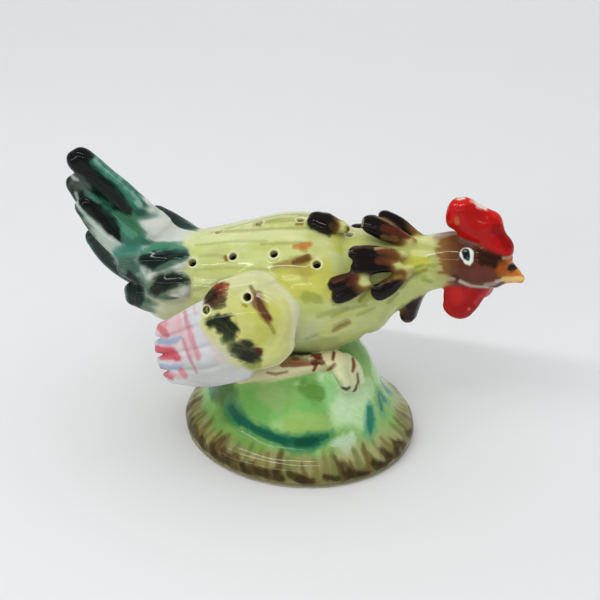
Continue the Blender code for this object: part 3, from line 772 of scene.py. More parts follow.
# A stroke is its colour, its strength, and a path of (across, up, half width) in mm on the painter's
# plane. The mound's strokes have the bearing in degrees and the height instead.
TAIL_STROKES = [
    ((188, 200, 186), 0.6, [(-75, 74, 2), (-70, 68, 3), (-64, 61, 3.5), (-60, 57, 3)]),
    ((62, 114, 94), 0.85, [(-75, 86, 1.4), (-71, 81.5, 2.2), (-67, 76.5, 3), (-63, 72.5, 3.6),
                           (-59.5, 70, 2.6)]),
    ((92, 148, 124), 0.7, [(-66, 78, 1), (-63, 74, 1.4), (-60.5, 70.5, 1.2)]),
    ((78, 132, 92), 0.6, [(-65.5, 81, 1), (-61.5, 76, 1.8), (-59.5, 72.5, 1.4)]),
    ((150, 196, 178), 0.75, [(-77, 99, 0.6), (-72, 94, 1.0), (-66.5, 89, 1.2), (-61.5, 84.5, 1.4),
                             (-58, 81.5, 0.6)]),
    ((46, 106, 86), 0.85, [(-76, 96, 1), (-72, 91.5, 2), (-67, 87, 2.2), (-62.5, 83, 1.6),
                           (-60, 80.5, 0.8)]),
    ((28, 92, 72), 0.6, [(-74, 93, 1.2), (-69, 88, 1.4), (-65, 84.5, 1)]),
    ((14, 16, 15), 0.98, [(-82, 100, 3), (-80, 97, 3.8), (-77.5, 93.5, 2.6)]),
    ((16, 22, 19), 0.95, [(-79, 94, 2.4), (-75.5, 91, 2.4), (-71.5, 88, 2.2), (-68, 85.5, 1.9),
                          (-65, 81.5, 1.5),
                          (-62.5, 78.8, 1)]),
    ((22, 34, 28), 0.8, [(-76.5, 88.5, 1), (-72, 85.5, 1), (-69, 83.5, 0.6)]),
    ((16, 18, 16), 0.9, [(-82, 102, 1.4), (-77, 100.5, 1.6), (-74.5, 97.5, 0.5)]),
    ((34, 40, 38), 0.95, [(-84, 91, 2.5), (-82, 86, 2.2), (-80, 82, 1.2), (-77, 77.5, 0.7)]),
    ((90, 98, 92), 0.7, [(-80, 89, 2), (-77.5, 87, 1.6)]),
    ((12, 15, 13), 0.97, [(-79, 84, 1.3), (-76.3, 81.5, 1.9), (-72.5, 77.5, 1.9), (-69.3, 74, 2.2),
                          (-67, 71, 1.9),
                          (-65.5, 68, 0.9)]),
    ((20, 44, 36), 0.7, [(-72, 80, 0.5), (-69, 77.5, 0.6), (-66, 73.5, 0.5)]),
    ((90, 150, 130), 0.6, [(-77, 85.2, 0.5), (-72, 82, 0.5)]),
    ((40, 50, 46), 0.92, [(-77.5, 72.5, 1.6), (-75, 68, 1.9), (-71.5, 62.5, 1.9), (-67.5, 58.5, 1.5),
                          (-63.5, 55.5, 1)]),
    ((130, 150, 130), 0.7, [(-76, 75.5, 1), (-72, 71.5, 1.2), (-69, 69, 0.6)]),
    ((178, 192, 178), 0.85, [(-73.5, 71.5, 0.8), (-69.5, 66.5, 1.5), (-65.8, 61.5, 1.7),
                             (-62.8, 57.5, 0.9)]),
    ((200, 208, 200), 0.85, [(-80.8, 85, 0.35), (-79.6, 80.5, 0.35), (-75.3, 75.3, 0.4),
                             (-70.3, 70.5, 0.5), (-65.6, 67, 0.7)]),
    ((190, 198, 192), 0.8, [(-83, 92.4, 0.2), (-81.2, 90.4, 0.3), (-79.8, 89.8, 0.2)]),
    ((196, 206, 196), 0.7, [(-63, 56.5, 0.4), (-60, 55.5, 0.5), (-57, 57, 0.9), (-56, 60, 0.7)]),
    ((60, 125, 105), 0.85, [(-65.5, 63, 1.4), (-62, 64, 1.8), (-58.5, 65.5, 0.8)]),
    ((55, 85, 72), 0.9, [(-64.5, 59.5, 1.6), (-61, 59, 2.6), (-58.5, 61, 1.6)]),
    ((20, 32, 28), 0.95, [(-62, 55, 1.4), (-60.5, 52, 2.4), (-60.5, 48, 2.6), (-61.5, 45, 1.6)]),
    ((70, 95, 80), 0.5, [(-58.5, 57, 1), (-56.5, 52, 0.8)]),
    ((84, 130, 108), 0.75, [(-56, 63, 2), (-51, 64, 2.6), (-45, 64.5, 2.4), (-40, 64.5, 1.4),
                            (-37, 64, 0.6)]),
    ((60, 125, 100), 0.85, [(-56, 63.5, 1), (-52, 65.5, 1.2), (-47, 66.2, 1), (-42, 66.2, 0.8),
                            (-38, 65.5, 0.4)]),
    ((12, 20, 18), 0.97, [(-55.5, 60.8, 1.6), (-52, 61, 2), (-48, 61.8, 1.6), (-44, 62.2, 1),
                          (-41, 62, 0.5)]),
    ((30, 60, 50), 0.7, [(-49, 63.8, 0.5), (-44, 64.4, 0.6), (-40, 64, 0.4)]),
    ((18, 40, 34), 0.9, [(-53, 57.7, 0.5), (-49, 59, 0.8), (-45, 61.3, 0.7), (-42, 61.5, 0.3)]),
    ((110, 140, 120), 0.7, [(-51, 57.5, 0.6), (-46, 60, 0.8), (-41, 61.5, 0.4)]),
    ((92, 104, 74), 0.7, [(-50, 52, 3), (-45, 53.5, 3.2), (-41, 54, 2), (-38, 53.5, 0.8)]),
    ((20, 28, 22), 0.95, [(-52, 50.5, 1.7), (-49.5, 52.5, 2.6), (-46, 53.8, 2.2), (-43, 54.3, 1.2),
                          (-41, 54, 0.5)]),
]
BODY_STROKES = [
    ((214, 214, 198), 0.95, [(-54, 72, 6), (-47, 70, 3.2), (-41, 70, 1)]),
    ((196, 198, 178), 0.7, [(-58, 52, 6), (-50, 46, 4), (-44, 47, 3)]),
    ((224, 228, 184), 0.5, [(-40, 69, 2), (-25, 70, 2.5), (-10, 70, 2), (0, 69, 1.5)]),
    ((198, 194, 80), 0.75, [(-5, 54, 3), (1, 52, 5), (5, 53.5, 6), (9, 52, 4)]),
    ((192, 190, 84), 0.6, [(12, 71, 2), (14, 66, 2)]),
    ((172, 160, 72), 0.6, [(-8.5, 58, 0.6), (-2, 58.5, 2.2), (3, 59, 2.5)]),
    ((134, 112, 54), 0.7, [(-9, 58.8, 0.3), (-5, 59.4, 0.8), (-1, 60, 1.2), (2.5, 61, 0.9)]),
    ((146, 126, 60), 0.3, [(0, 60, 1.8), (1.5, 56, 1.2), (1.5, 54, 0.5)]),
    ((190, 112, 48), 0.8, [(-2, 65.5, 0.5), (0.5, 66, 0.8), (3, 66.3, 0.5)]),
    ((170, 100, 40), 0.6, [(0.5, 65, 0.7), (1.5, 64.3, 0.5)]),
    ((130, 130, 60), 0.45, [(-36, 71.3, 0.25), (-20, 71.8, 0.3), (-5, 72.3, 0.25), (4, 72.4, 0.2)]),
    ((120, 120, 55), 0.4, [(-20, 74.3, 0.2), (-10, 75, 0.25), (0, 75.3, 0.2)]),
    ((150, 150, 80), 0.4, [(-38, 66.5, 0.2), (-24, 67.8, 0.25), (-12, 67.6, 0.2)]),
    ((140, 140, 70), 0.45, [(-14, 66.5, 0.2), (-6, 66.7, 0.3), (0, 66.9, 0.4)]),
    ((150, 150, 85), 0.4, [(-36, 62.5, 0.3), (-30, 62.8, 0.4), (-25, 61.5, 0.3)]),
    ((150, 152, 85), 0.4, [(-38, 57.5, 0.3), (-28, 58.5, 0.3), (-18, 57.8, 0.3), (-10, 57.3, 0.2)]),
    ((140, 145, 80), 0.45, [(-38, 50.5, 0.4), (-30, 53, 0.4), (-24, 55, 0.3)]),
    ((110, 80, 30), 0.8, [(-27, 62.3, 0.25), (-26.2, 61.2, 0.5)]),
    ((110, 80, 30), 0.7, [(-16.5, 73.8, 0.3), (-14.8, 73.6, 0.3)]),
    ((110, 80, 30), 0.7, [(-1.5, 73.7, 0.3), (0.5, 73.8, 0.3)]),
    ((118, 124, 62), 0.35, [(6, 41, 0.4), (11, 42.5, 0.7), (16, 44, 0.4)]),
    ((118, 124, 62), 0.35, [(11, 41, 0.3), (17, 43.8, 0.4), (23, 45, 0.3)]),
    ((118, 124, 62), 0.3, [(12, 37.5, 0.5), (16, 39.5, 0.6)]),
    ((90, 98, 50), 0.5, [(2, 33, 0.2), (6, 34.5, 0.25)]),
    ((118, 124, 62), 0.3, [(20, 41.5, 0.3), (26, 44, 0.3)]),
    ((118, 92, 40), 0.6, [(11.5, 36, 0.4), (14, 37.7, 0.7), (17, 39, 0.5)]),
    # Painted shade: this stroke and the next lay grey-green shadow low on the front of the flank.
    ((118, 134, 80), 0.5, [(12, 46, 1), (18, 49, 1)]),
    ((120, 135, 60), 0.5, [(2, 48, 1.5), (6, 47, 1)]),
    ((170, 174, 96), 0.7, [(30, 63, 3), (38, 64, 4), (46, 62, 4), (49, 58, 3)]),
    ((190, 186, 66), 0.8, [(35, 60.5, 1.5), (39, 59.5, 2.5), (43, 59.5, 1.5)]),
    ((190, 188, 75), 0.6, [(36, 67, 1.2), (40, 68, 1.2)]),
    ((150, 155, 60), 0.5, [(30, 57, 0.6), (36, 56, 0.8), (44, 55, 0.5)]),
    ((222, 226, 165), 0.5, [(38, 70, 1), (44, 69, 1.5), (48, 67, 1)]),
    ((222, 226, 165), 0.5, [(40, 63.5, 0.8), (46, 63, 0.8)]),
    # Dark mark on the body just under the back hackle's tip: partly dark paint, partly painted shadow of
    # the hackle.
    ((40, 34, 20), 0.85, [(8, 73.5, 0.8), (9.5, 71.5, 0.9), (10.2, 69.8, 0.4)]),
    ((70, 84, 36), 0.6, [(21.5, 58.5, 0.25), (25, 59.2, 0.3), (28.5, 60.3, 0.2)]),
    ((86, 100, 44), 0.6, [(20.5, 46.5, 0.3), (23, 49.5, 0.4), (25.5, 52.5, 0.3)]),
    ((86, 100, 44), 0.5, [(35, 51, 0.3), (39, 55.5, 0.4), (44, 57.5, 0.3)]),
    ((150, 158, 70), 0.6, [(22, 47, 1), (26, 50, 1.4), (29, 54, 1)]),
    ((104, 116, 50), 0.5, [(38, 57.5, 0.3), (43, 59, 0.3)]),
    ((116, 124, 58), 0.5, [(31, 46, 0.3), (34, 49, 0.4)]),
    ((82, 50, 20), 0.75, [(-2.5, 59.8, 0.3), (0, 60.6, 0.7), (2.4, 61.6, 0.8)]),
    ((120, 140, 60), 0.5, [(45, 62, 0.3), (47.5, 62.3, 0.3)]),
    ((120, 140, 60), 0.5, [(44.5, 59, 0.3), (47, 58.8, 0.3)]),
    ((120, 140, 60), 0.5, [(43, 54, 0.3), (46, 53.3, 0.3)]),
    ((130, 118, 58), 0.6, [(22, 50.5, 0.4), (27, 52.5, 0.4)]),
    ((150, 158, 96), 0.6, [(-5, 29, 1.5), (4, 30, 2.2), (12, 31, 2)]),
    ((190, 192, 160), 0.5, [(-4, 33, 3), (3, 35, 3)]),
]
WING_STROKES = [
    ((190, 192, 86), 0.8, [(-16, 45, 3), (-12, 41, 4), (-12, 36, 3), (-16, 33, 2)]),
    ((204, 206, 158), 0.7, [(-24, 53, 2), (-14, 53.5, 2.5), (-7, 49, 1.5)]),
    ((120, 128, 52), 0.7, [(-18, 24, 1.6), (-15, 25, 1)]),
    ((66, 42, 32), 0.85, [(-31.5, 46, 1.6), (-28, 47, 1.4)]),
    ((46, 28, 22), 0.92, [(-33.8, 46, 1), (-32.3, 48.5, 2.2), (-30, 50, 2.2), (-28.5, 51, 1.2)]),
    ((134, 54, 34), 0.8, [(-30.5, 51.8, 0.4), (-28, 52, 0.5), (-25.3, 52.2, 0.3)]),
    ((134, 54, 34), 0.8, [(-29, 50, 0.4), (-27, 50.6, 0.4), (-25.6, 50.9, 0.2)]),
    ((122, 50, 34), 0.6, [(-28.5, 48.5, 0.5), (-26, 49, 0.3)]),
    ((60, 62, 34), 0.7, [(-30, 44, 0.4), (-28, 44.6, 0.5), (-26.5, 45, 0.2)]),
    ((24, 30, 18), 0.92, [(-31.5, 38.5, 0.9), (-29, 39.3, 1.7), (-26.5, 38.3, 2.4), (-24.7, 36.5, 2.2),
                          (-25.3, 34.2, 1.3)]),
    ((28, 30, 20), 0.9, [(-27, 40.5, 0.5), (-25.5, 41, 0.6)]),
    ((60, 74, 40), 0.6, [(-26, 33, 1.4), (-24, 32, 1)]),
    ((28, 32, 24), 0.92, [(-23.5, 29.3, 1.2), (-21, 29.3, 2.3), (-18.3, 28.6, 2.6), (-15.8, 28.5, 1.7)]),
    ((34, 36, 26), 0.9, [(-19.5, 32, 0.7), (-18, 31.5, 0.9)]),
    ((34, 36, 26), 0.85, [(-19, 27, 1.4), (-17, 26, 1)]),
    ((84, 36, 20), 0.85, [(-15, 29.3, 0.7), (-14.2, 28.5, 0.6)]),
    ((116, 88, 84), 0.8, [(-16, 49, 0.8), (-15.8, 46.5, 1), (-15.3, 44.5, 0.7)]),
    ((116, 82, 48), 0.65, [(-15.2, 48, 1.2), (-14.2, 45, 1.4), (-12.5, 42, 1.2), (-10.8, 39.8, 0.7)]),
    ((76, 40, 24), 0.85, [(-14.6, 47, 0.4), (-13.8, 44.5, 0.6), (-12.4, 42, 0.7), (-10.8, 40.3, 0.4)]),
    ((104, 66, 32), 0.7, [(-14.5, 43.5, 0.3), (-12.8, 41, 0.3), (-11.2, 38.8, 0.2)]),
    ((120, 124, 48), 0.6, [(-10.5, 38, 0.4), (-9.3, 35.5, 0.3)]),
    ((100, 92, 40), 0.7, [(-17.4, 51.5, 0.3), (-17, 50.8, 0.3)]),
    ((110, 96, 40), 0.6, [(-20, 45.3, 0.2), (-19, 44.8, 0.3)]),
]
FLIGHT_STROKES = [
    # Painted shade: a grey wash over the lower part of the flight feathers.
    ((184, 186, 180), 0.75, [(-40, 21, 2.5), (-33, 20.5, 4), (-27, 24, 4), (-25, 29, 2.5), (-29, 33, 1.6)]),
    ((206, 204, 210), 0.6, [(-38, 40, 2.5), (-35, 33, 3), (-33, 27, 2)]),
    ((222, 178, 182), 0.6, [(-49, 37, 2), (-47, 30, 3), (-44, 26, 2)]),
    ((216, 172, 178), 0.7, [(-46.5, 41, 1.2), (-45, 38, 2), (-43.5, 35, 1.4)]),
    ((218, 164, 170), 0.7, [(-43.8, 42.5, 0.5), (-42.4, 37, 0.7), (-40.6, 30.5, 0.8), (-38.5, 26.5, 0.5)]),
    ((196, 120, 132), 0.7, [(-41, 42.5, 0.45), (-39.7, 37, 0.55), (-37.7, 31, 0.5), (-36, 26.3, 0.4)]),
    ((206, 150, 158), 0.5, [(-39.8, 38, 0.9), (-38, 32, 0.9), (-36.2, 27, 0.6)]),
    ((190, 116, 130), 0.65, [(-41.5, 33, 0.15), (-39.3, 26.5, 0.3), (-36.8, 21.2, 0.25)]),
    ((220, 186, 188), 0.6, [(-35, 37, 0.3), (-32, 32, 0.4), (-28, 24.5, 0.3)]),
    ((206, 160, 168), 0.5, [(-38, 45.5, 0.2), (-37, 42, 0.3)]),
    ((188, 92, 102), 0.75, [(-50.5, 37.5, 0.7), (-48.6, 35.8, 0.9), (-47.2, 34, 0.5)]),
    ((206, 128, 134), 0.6, [(-50, 39.3, 0.5), (-48, 38.5, 0.7)]),
    ((190, 60, 74), 0.8, [(-50.8, 29.3, 0.8), (-48, 28.3, 1.3), (-45.5, 28.3, 1.1), (-43.6, 26.3, 0.7)]),
    ((200, 84, 98), 0.7, [(-49.5, 26.5, 0.6), (-46, 26.6, 0.7)]),
    ((190, 76, 90), 0.75, [(-49.8, 21.8, 0.8), (-47.6, 20.4, 0.9), (-45.8, 19.3, 0.6)]),
    ((206, 116, 126), 0.8, [(-42.5, 22, 0.7), (-40.8, 19.8, 0.5)]),
    ((212, 150, 156), 0.6, [(-46, 20.5, 0.7), (-43.5, 19.6, 0.5)]),
    ((148, 164, 192), 0.85, [(-50, 32.2, 0.5), (-46.5, 32, 0.7), (-44, 32.8, 0.7), (-42.5, 33.6, 0.3)]),
    ((146, 168, 196), 0.85, [(-49.5, 23.6, 0.4), (-46, 23, 0.6), (-43, 23.2, 0.6), (-41.5, 23.6, 0.2)]),
]
HACKLE_STROKES = [
    ((96, 72, 40), 0.6, [(11, 73, 1), (12, 71, 0.6)]),
    ((190, 195, 150), 0.8, [(21.5, 76, 0.5), (21.2, 73, 0.4)]),
    ((176, 168, 104), 0.75, [(28, 78.4, 0.4), (33, 75.6, 0.4), (38, 71.8, 0.4)]),
    ((162, 126, 70), 0.75, [(27, 76.5, 0.3), (31, 74.6, 0.5), (35, 72.6, 0.3)]),
    ((100, 46, 26), 0.8, [(29, 72, 0.8), (33, 71, 1.3), (37.5, 69.5, 0.9)]),
    ((154, 112, 60), 0.6, [(29, 68.8, 0.6), (33, 68, 0.8)]),
    ((86, 66, 50), 0.7, [(18, 65, 0.4), (22, 65.8, 0.5), (25, 65.2, 0.4)]),
    ((206, 180, 140), 0.75, [(26, 64.7, 0.3), (30.5, 65.2, 0.4)]),
    ((118, 64, 32), 0.75, [(27, 63.6, 0.5), (30, 63.8, 0.9), (32.5, 62.8, 0.5)]),
    ((104, 54, 28), 0.75, [(27, 60.3, 0.8), (30, 60.3, 1), (33, 60.6, 0.5)]),
    ((212, 208, 188), 0.8, [(15.8, 58.6, 0.25), (15.4, 61.5, 0.4), (16.5, 64, 0.25)]),
    ((98, 54, 30), 0.7, [(11, 53.5, 0.6), (14, 54.5, 0.8), (17, 55.5, 0.6)]),
    ((106, 54, 28), 0.7, [(17, 52.5, 0.8), (18.5, 54, 0.8)]),
    ((104, 80, 34), 0.8, [(28.5, 53, 1), (32, 55, 1), (35, 56, 0.8)]),
    ((156, 136, 62), 0.5, [(33, 54.4, 0.5), (35, 54.8, 0.4)]),
    ((20, 13, 9), 0.95, [(29.5, 50.5, 1.2), (32, 49, 2), (34, 48.6, 1.2)]),
    ((24, 17, 13), 0.85, [(31, 46.5, 0.8), (34, 46.3, 0.7)]),
    ((168, 152, 106), 0.85, [(37, 47, 1.2), (39.5, 50, 1.2), (42, 52, 0.8)]),
    ((124, 88, 52), 0.8, [(36, 44, 0.8), (38, 42, 1)]),
    ((44, 26, 24), 0.92, [(43, 46.5, 0.6), (41.5, 44, 1.6), (40.5, 41, 2.2), (40, 39, 1.6)]),
    ((120, 92, 66), 0.6, [(38, 39, 0.5), (38.8, 38.6, 0.4)]),
]
HEAD_STROKES = [
    # Painted highlights: these two grey strokes lay soft reflections of the gloss on the brown head.
    ((112, 90, 80), 0.7, [(56, 69, 1.5), (60, 67, 1), (55, 72, 1)]),
    ((124, 106, 96), 0.7, [(76, 64, 1.6), (77, 61, 1)]),
    ((106, 54, 42), 0.7, [(61, 56, 1.5), (64, 57.5, 1.5), (68, 55.5, 1.2)]),
    ((46, 20, 10), 0.92, [(62.5, 63.5, 0.8), (64, 61.5, 1.7), (67, 60.7, 1.6), (70, 60, 1.6)]),
    ((50, 24, 14), 0.85, [(69, 58.5, 1.2), (70.5, 60.5, 1)]),
    ((206, 118, 42), 0.95, [(71, 57.3, 1.5), (73.5, 57.6, 2.3), (76, 57, 2.4)]),
    ((206, 196, 166), 0.8, [(70.8, 61.4, 0.3), (73, 61.6, 0.4), (74.5, 60.6, 0.5)]),
    # Painted highlight: a pale line along the lower edge of the head, carried on by the three strokes after
    # the dark dot.
    ((206, 200, 180), 0.7, [(49, 55.2, 0.4), (51, 54.2, 0.5), (54, 54.4, 0.25)]),
    ((70, 40, 26), 0.85, [(53.8, 55.4, 0.3), (55, 54.6, 0.3)]),
    # Painted highlight along the lower edge of the head, continued.
    ((208, 204, 186), 0.85, [(56, 53.4, 0.3), (60, 51.6, 0.3), (66, 51, 0.3)]),
    ((190, 178, 164), 0.8, [(65, 52.3, 0.25), (68, 52.6, 0.4), (70, 53.6, 0.3)]),
    ((202, 194, 178), 0.7, [(68.5, 53.4, 0.25), (71, 54, 0.25)]),
]
BEAK_STROKES = [
    ((158, 78, 28), 0.8, [(69.5, 56.5, 1), (71, 58, 1.2), (70.5, 60, 0.8)]),
    ((176, 92, 32), 0.6, [(71, 55.7, 0.7), (76, 56, 0.6)]),
    ((236, 206, 130), 0.9, [(71, 54.2, 0.5), (75, 54, 0.6), (78, 54.4, 0.5)]),
    # Painted highlight by the nostril.
    ((234, 188, 128), 0.7, [(74, 60.3, 0.5), (75.5, 59.6, 0.4)]),
    ((226, 132, 52), 0.8, [(76.5, 57.5, 0.8), (78.3, 55.8, 0.6)]),
    ((24, 22, 22), 0.97, [(73.6, 58, 0.7), (74.8, 58.2, 0.8)]),
]
COMB_STROKES = [
    ((166, 24, 22), 0.6, [(57, 76, 2), (62, 73, 2.5), (66, 68, 2)]),
    ((152, 30, 28), 0.5, [(55, 72, 1), (60, 70.5, 1)]),
    ((140, 4, 6), 0.85, [(68, 71.5, 1.3), (71, 69, 2), (72.3, 66.5, 1.4)]),
    ((172, 18, 18), 0.6, [(63, 78, 1.2), (67, 75, 1.4), (71, 71, 1)]),
    ((222, 50, 42), 0.6, [(66, 79, 1.5), (70, 75, 1.5), (73, 72, 1)]),
    ((214, 50, 42), 0.5, [(54, 80, 1), (58, 81.5, 1)]),
    ((192, 142, 62), 0.6, [(54, 75, 0.4), (54.5, 73.8, 0.4)]),
    ((222, 150, 96), 0.6, [(70.5, 74, 0.5), (71.5, 73.7, 0.4)]),
    ((214, 190, 170), 0.75, [(71, 61.3, 0.3), (73.5, 61.8, 0.3), (75, 63.5, 0.3), (75.7, 66, 0.25)]),
]
COMB_CHIPS = [
    ((228, 224, 208), 1.0, [(53.4, 82.6, 0.4), (55, 82.4, 0.6), (56.4, 82.4, 0.3)]),
    ((228, 224, 208), 1.0, [(60.9, 81.3, 0.8), (62.8, 80.2, 1.5), (64, 79, 0.8)]),
    ((226, 150, 120), 0.8, [(59, 81, 0.4), (59.6, 81.2, 0.3)]),
]
WATTLE_STROKES = [
    ((148, 12, 14), 0.6, [(56, 44, 2), (60, 43.5, 1.5)]),
    ((196, 44, 40), 0.6, [(55, 50, 1.5), (56, 47, 1.5)]),
    ((204, 80, 82), 0.6, [(62.5, 46, 0.7), (65, 49, 0.8), (68, 51, 0.6)]),
    ((230, 124, 96), 0.8, [(60, 43.6, 0.3)]),
]
LEG_STROKES = [
    ((206, 200, 156), 0.6, [(-18, 17, 3), (-12, 19, 2)]),
    ((150, 140, 96), 0.5, [(-6, 26, 0.6), (0, 26, 0.6)]),
    ((112, 48, 24), 0.72, [(-6.8, 23.4, 0.45), (-2, 23.5, 0.5), (2, 23.9, 0.4), (5, 24.3, 0.6)]),
    ((136, 76, 40), 0.6, [(-6.8, 24.6, 0.4), (-3, 24.6, 0.5), (2, 25, 0.4)]),
    # Painted shade: greenish shadow over the leg's end by the foot.
    ((150, 160, 96), 0.5, [(8, 22, 1), (13, 20, 1.2), (17, 17, 0.8)]),
    ((72, 22, 10), 0.82, [(5, 24.4, 0.7), (6.5, 24.8, 0.9), (7.6, 24.2, 0.5)]),
    ((96, 34, 20), 0.85, [(4, 26.8, 0.2), (7, 27, 0.3)]),
    ((96, 34, 20), 0.8, [(5, 26, 0.2), (7.4, 26, 0.2)]),
    ((100, 34, 20), 0.85, [(5.6, 23.5, 0.3), (4.6, 21.3, 0.2)]),
    ((112, 50, 26), 0.8, [(-2.5, 25.8, 0.35), (-1.2, 25.6, 0.35)]),
    ((90, 32, 14), 0.8, [(11.9, 27.6, 0.3), (11.6, 25.4, 0.35)]),
    ((90, 32, 14), 0.75, [(12.2, 23.3, 0.45), (11, 22.3, 0.35), (9.8, 21.4, 0.15)]),
    ((98, 50, 24), 0.6, [(-12, 20.6, 0.2), (-9, 20.1, 0.25), (-5, 20.9, 0.2)]),
    ((88, 36, 18), 0.8, [(18.9, 25.6, 0.2), (19.3, 23, 0.25), (18.8, 21, 0.15)]),
]
FOOT_STROKES = [
    ((110, 52, 30), 0.8, [(18.9, 25.6, 0.25), (19.3, 23, 0.35), (18.8, 21, 0.2)]),
    # Painted shade: greenish shadow on the foot.
    ((120, 150, 96), 0.6, [(9, 21, 0.8), (12, 18, 1), (14, 16, 0.7)]),
    ((58, 66, 50), 0.9, [(15.2, 14.9, 0.3), (16.5, 14.5, 0.45), (17.6, 15.2, 0.3)]),
    ((70, 66, 46), 0.8, [(18.8, 12.4, 0.3), (20, 14.8, 0.25), (20.9, 17, 0.2)]),
    ((70, 66, 46), 0.7, [(20.6, 20, 0.2), (20.8, 17.5, 0.2)]),
]
MOUND_STROKES = [
    ((204, 238, 184), 0.9, [(-47, 34, 6), (-38, 29, 8), (-24, 23, 7)]),
    ((112, 190, 96), 0.5, [(-70, 27, 3), (-58, 30, 4), (-48, 33, 3)]),
    ((168, 214, 136), 0.6, [(-88, 22, 3), (-74, 21, 3), (-62, 22, 2)]),
    ((156, 190, 98), 0.8, [(-76, 21, 4), (-62, 20, 4), (-55, 18, 2)]),
    ((110, 182, 84), 0.6, [(-114, 24, 4), (-95, 24, 3), (-85, 26, 2)]),
    # Painted shade: dark green on the mound's left side.
    ((62, 96, 38), 0.85, [(-165, 27, 6), (-145, 24, 6), (-130, 22, 4), (-124, 17, 2)]),
    # Painted shade: darker green under the leg.
    ((96, 142, 60), 0.8, [(-70, 33.5, 2), (-58, 32, 2.5)]),
    ((160, 190, 120), 0.6, [(-102, 30, 2.5), (-89, 29, 3.5)]),
    ((110, 150, 70), 0.7, [(-132, 14, 3), (-112, 13, 2), (-95, 12.5, 1.5)]),
    ((204, 224, 194), 0.85, [(-51, 14, 1.2), (-45, 13.4, 2), (-39, 15, 1)]),
    ((88, 142, 92), 0.7, [(-127, 20.5, 3.4), (-117, 19, 2.6)]),
    ((58, 128, 82), 0.7, [(-126, 19, 2.4), (-116, 17.8, 2.6), (-104, 17, 1.6), (-94, 16.4, 1.5),
                          (-84, 15.2, 1.6),
                          (-75, 14.8, 2.2), (-66, 15.2, 2.6), (-58, 16.2, 1.6), (-52, 17, 0.8)]),
    ((24, 92, 70), 0.9, [(-124, 19.5, 1.3), (-116, 18, 1.5), (-104, 17, 0.7), (-94, 16.6, 0.6),
                         (-84, 15.4, 0.7),
                         (-75, 14.8, 1.2), (-66, 15.2, 1.5), (-60, 16, 0.9), (-56, 16.6, 0.3)]),
    ((14, 74, 52), 0.85, [(-74, 15, 0.8), (-66, 15.4, 1.1), (-62, 16, 0.6)]),
    ((22, 84, 66), 0.8, [(-104, 16.6, 0.5), (-92, 15.6, 0.7), (-82, 14.6, 0.6)]),
    ((84, 164, 128), 0.7, [(-28, 13.5, 1.4), (-24, 15.5, 2.2), (-20, 18, 2.6), (-17, 20.5, 2),
                           (-16, 22.5, 1)]),
    ((34, 112, 92), 0.8, [(-26, 14.5, 0.7), (-23, 16.2, 1.2), (-20, 18.2, 1.6), (-18, 20.2, 1.1)]),
    ((92, 168, 136), 0.6, [(-7, 16.5, 1.2), (-3, 19.5, 1.8), (-1, 22.5, 1)]),
    ((40, 112, 104), 0.7, [(-6, 17.5, 0.6), (-3, 19.5, 1), (-1.5, 21.5, 0.6)]),
    # Painted light: a pale wash that lightens the mound's front-right.
    ((206, 238, 190), 0.6, [(-46, 22, 3), (-36, 27, 4), (-22, 29, 4), (-8, 27, 3)]),
    # Painted light: a paler wash on the front-right of the brim.
    ((180, 182, 130), 0.5, [(-50, 9, 2.5), (-34, 9, 3.5), (-14, 9, 3.5)]),
    ((40, 110, 84), 0.8, [(-166, 17, 1), (-156, 18, 1.5), (-148, 17, 0.8)]),
]
DEGREE = 0.65  # mm of brush work for a degree of the mound's bearing
BROWNS = [(98, 84, 38), (76, 58, 24), (118, 106, 50), (88, 96, 44)]
DARK_BROWN = (50, 36, 14)


def brim_strokes():
    """Brown brush strokes down the brim, all the way round, and darker ones along its lower edge."""
    rng = np.random.default_rng(5)
    strokes = []
    for bearing in np.arange(-180, 180, 4.6):
        top, foot = rng.uniform(8.0, 13.0), rng.uniform(3.0, 6.0)
        lean, width = rng.uniform(-2.5, 2.5), rng.uniform(0.35, 1.1)
        path = [(bearing + lean, top, width * 0.5), (bearing, foot, width * 1.5)]
        strokes.append((BROWNS[rng.integers(4)], rng.uniform(0.3, 0.8), path))
    for bearing in np.arange(-180, 180, 4.2):
        if rng.random() < 0.72:
            height, width, run = rng.uniform(3.6, 6.2), rng.uniform(0.8, 1.5), rng.uniform(0.5, 3.5)
            strength, rise = rng.uniform(0.5, 0.9), rng.uniform(0.0, 2.4)
            path = [(bearing - run, height + rise, width * 0.7), (bearing + run, height - 0.8, width)]
            strokes.append((DARK_BROWN, strength, path))
    return strokes


BRIM_STROKES = brim_strokes()
GROUNDS = {
    "mound": ((124, 174, 88), (150, 194, 114)), "head": ((78, 42, 28), (98, 56, 38)),
    "beak": ((206, 118, 42), (222, 136, 60)), "comb": ((178, 16, 16), (198, 28, 24)),
    "wattle_right": ((156, 14, 16), (172, 24, 24)), "flight": ((200, 201, 204), (209, 209, 205)),
}


def washed(ground, colour, share):
    """colour laid over ground, both one or one a point."""
    return ground + (colour - np.array(ground)) * share[:, None]


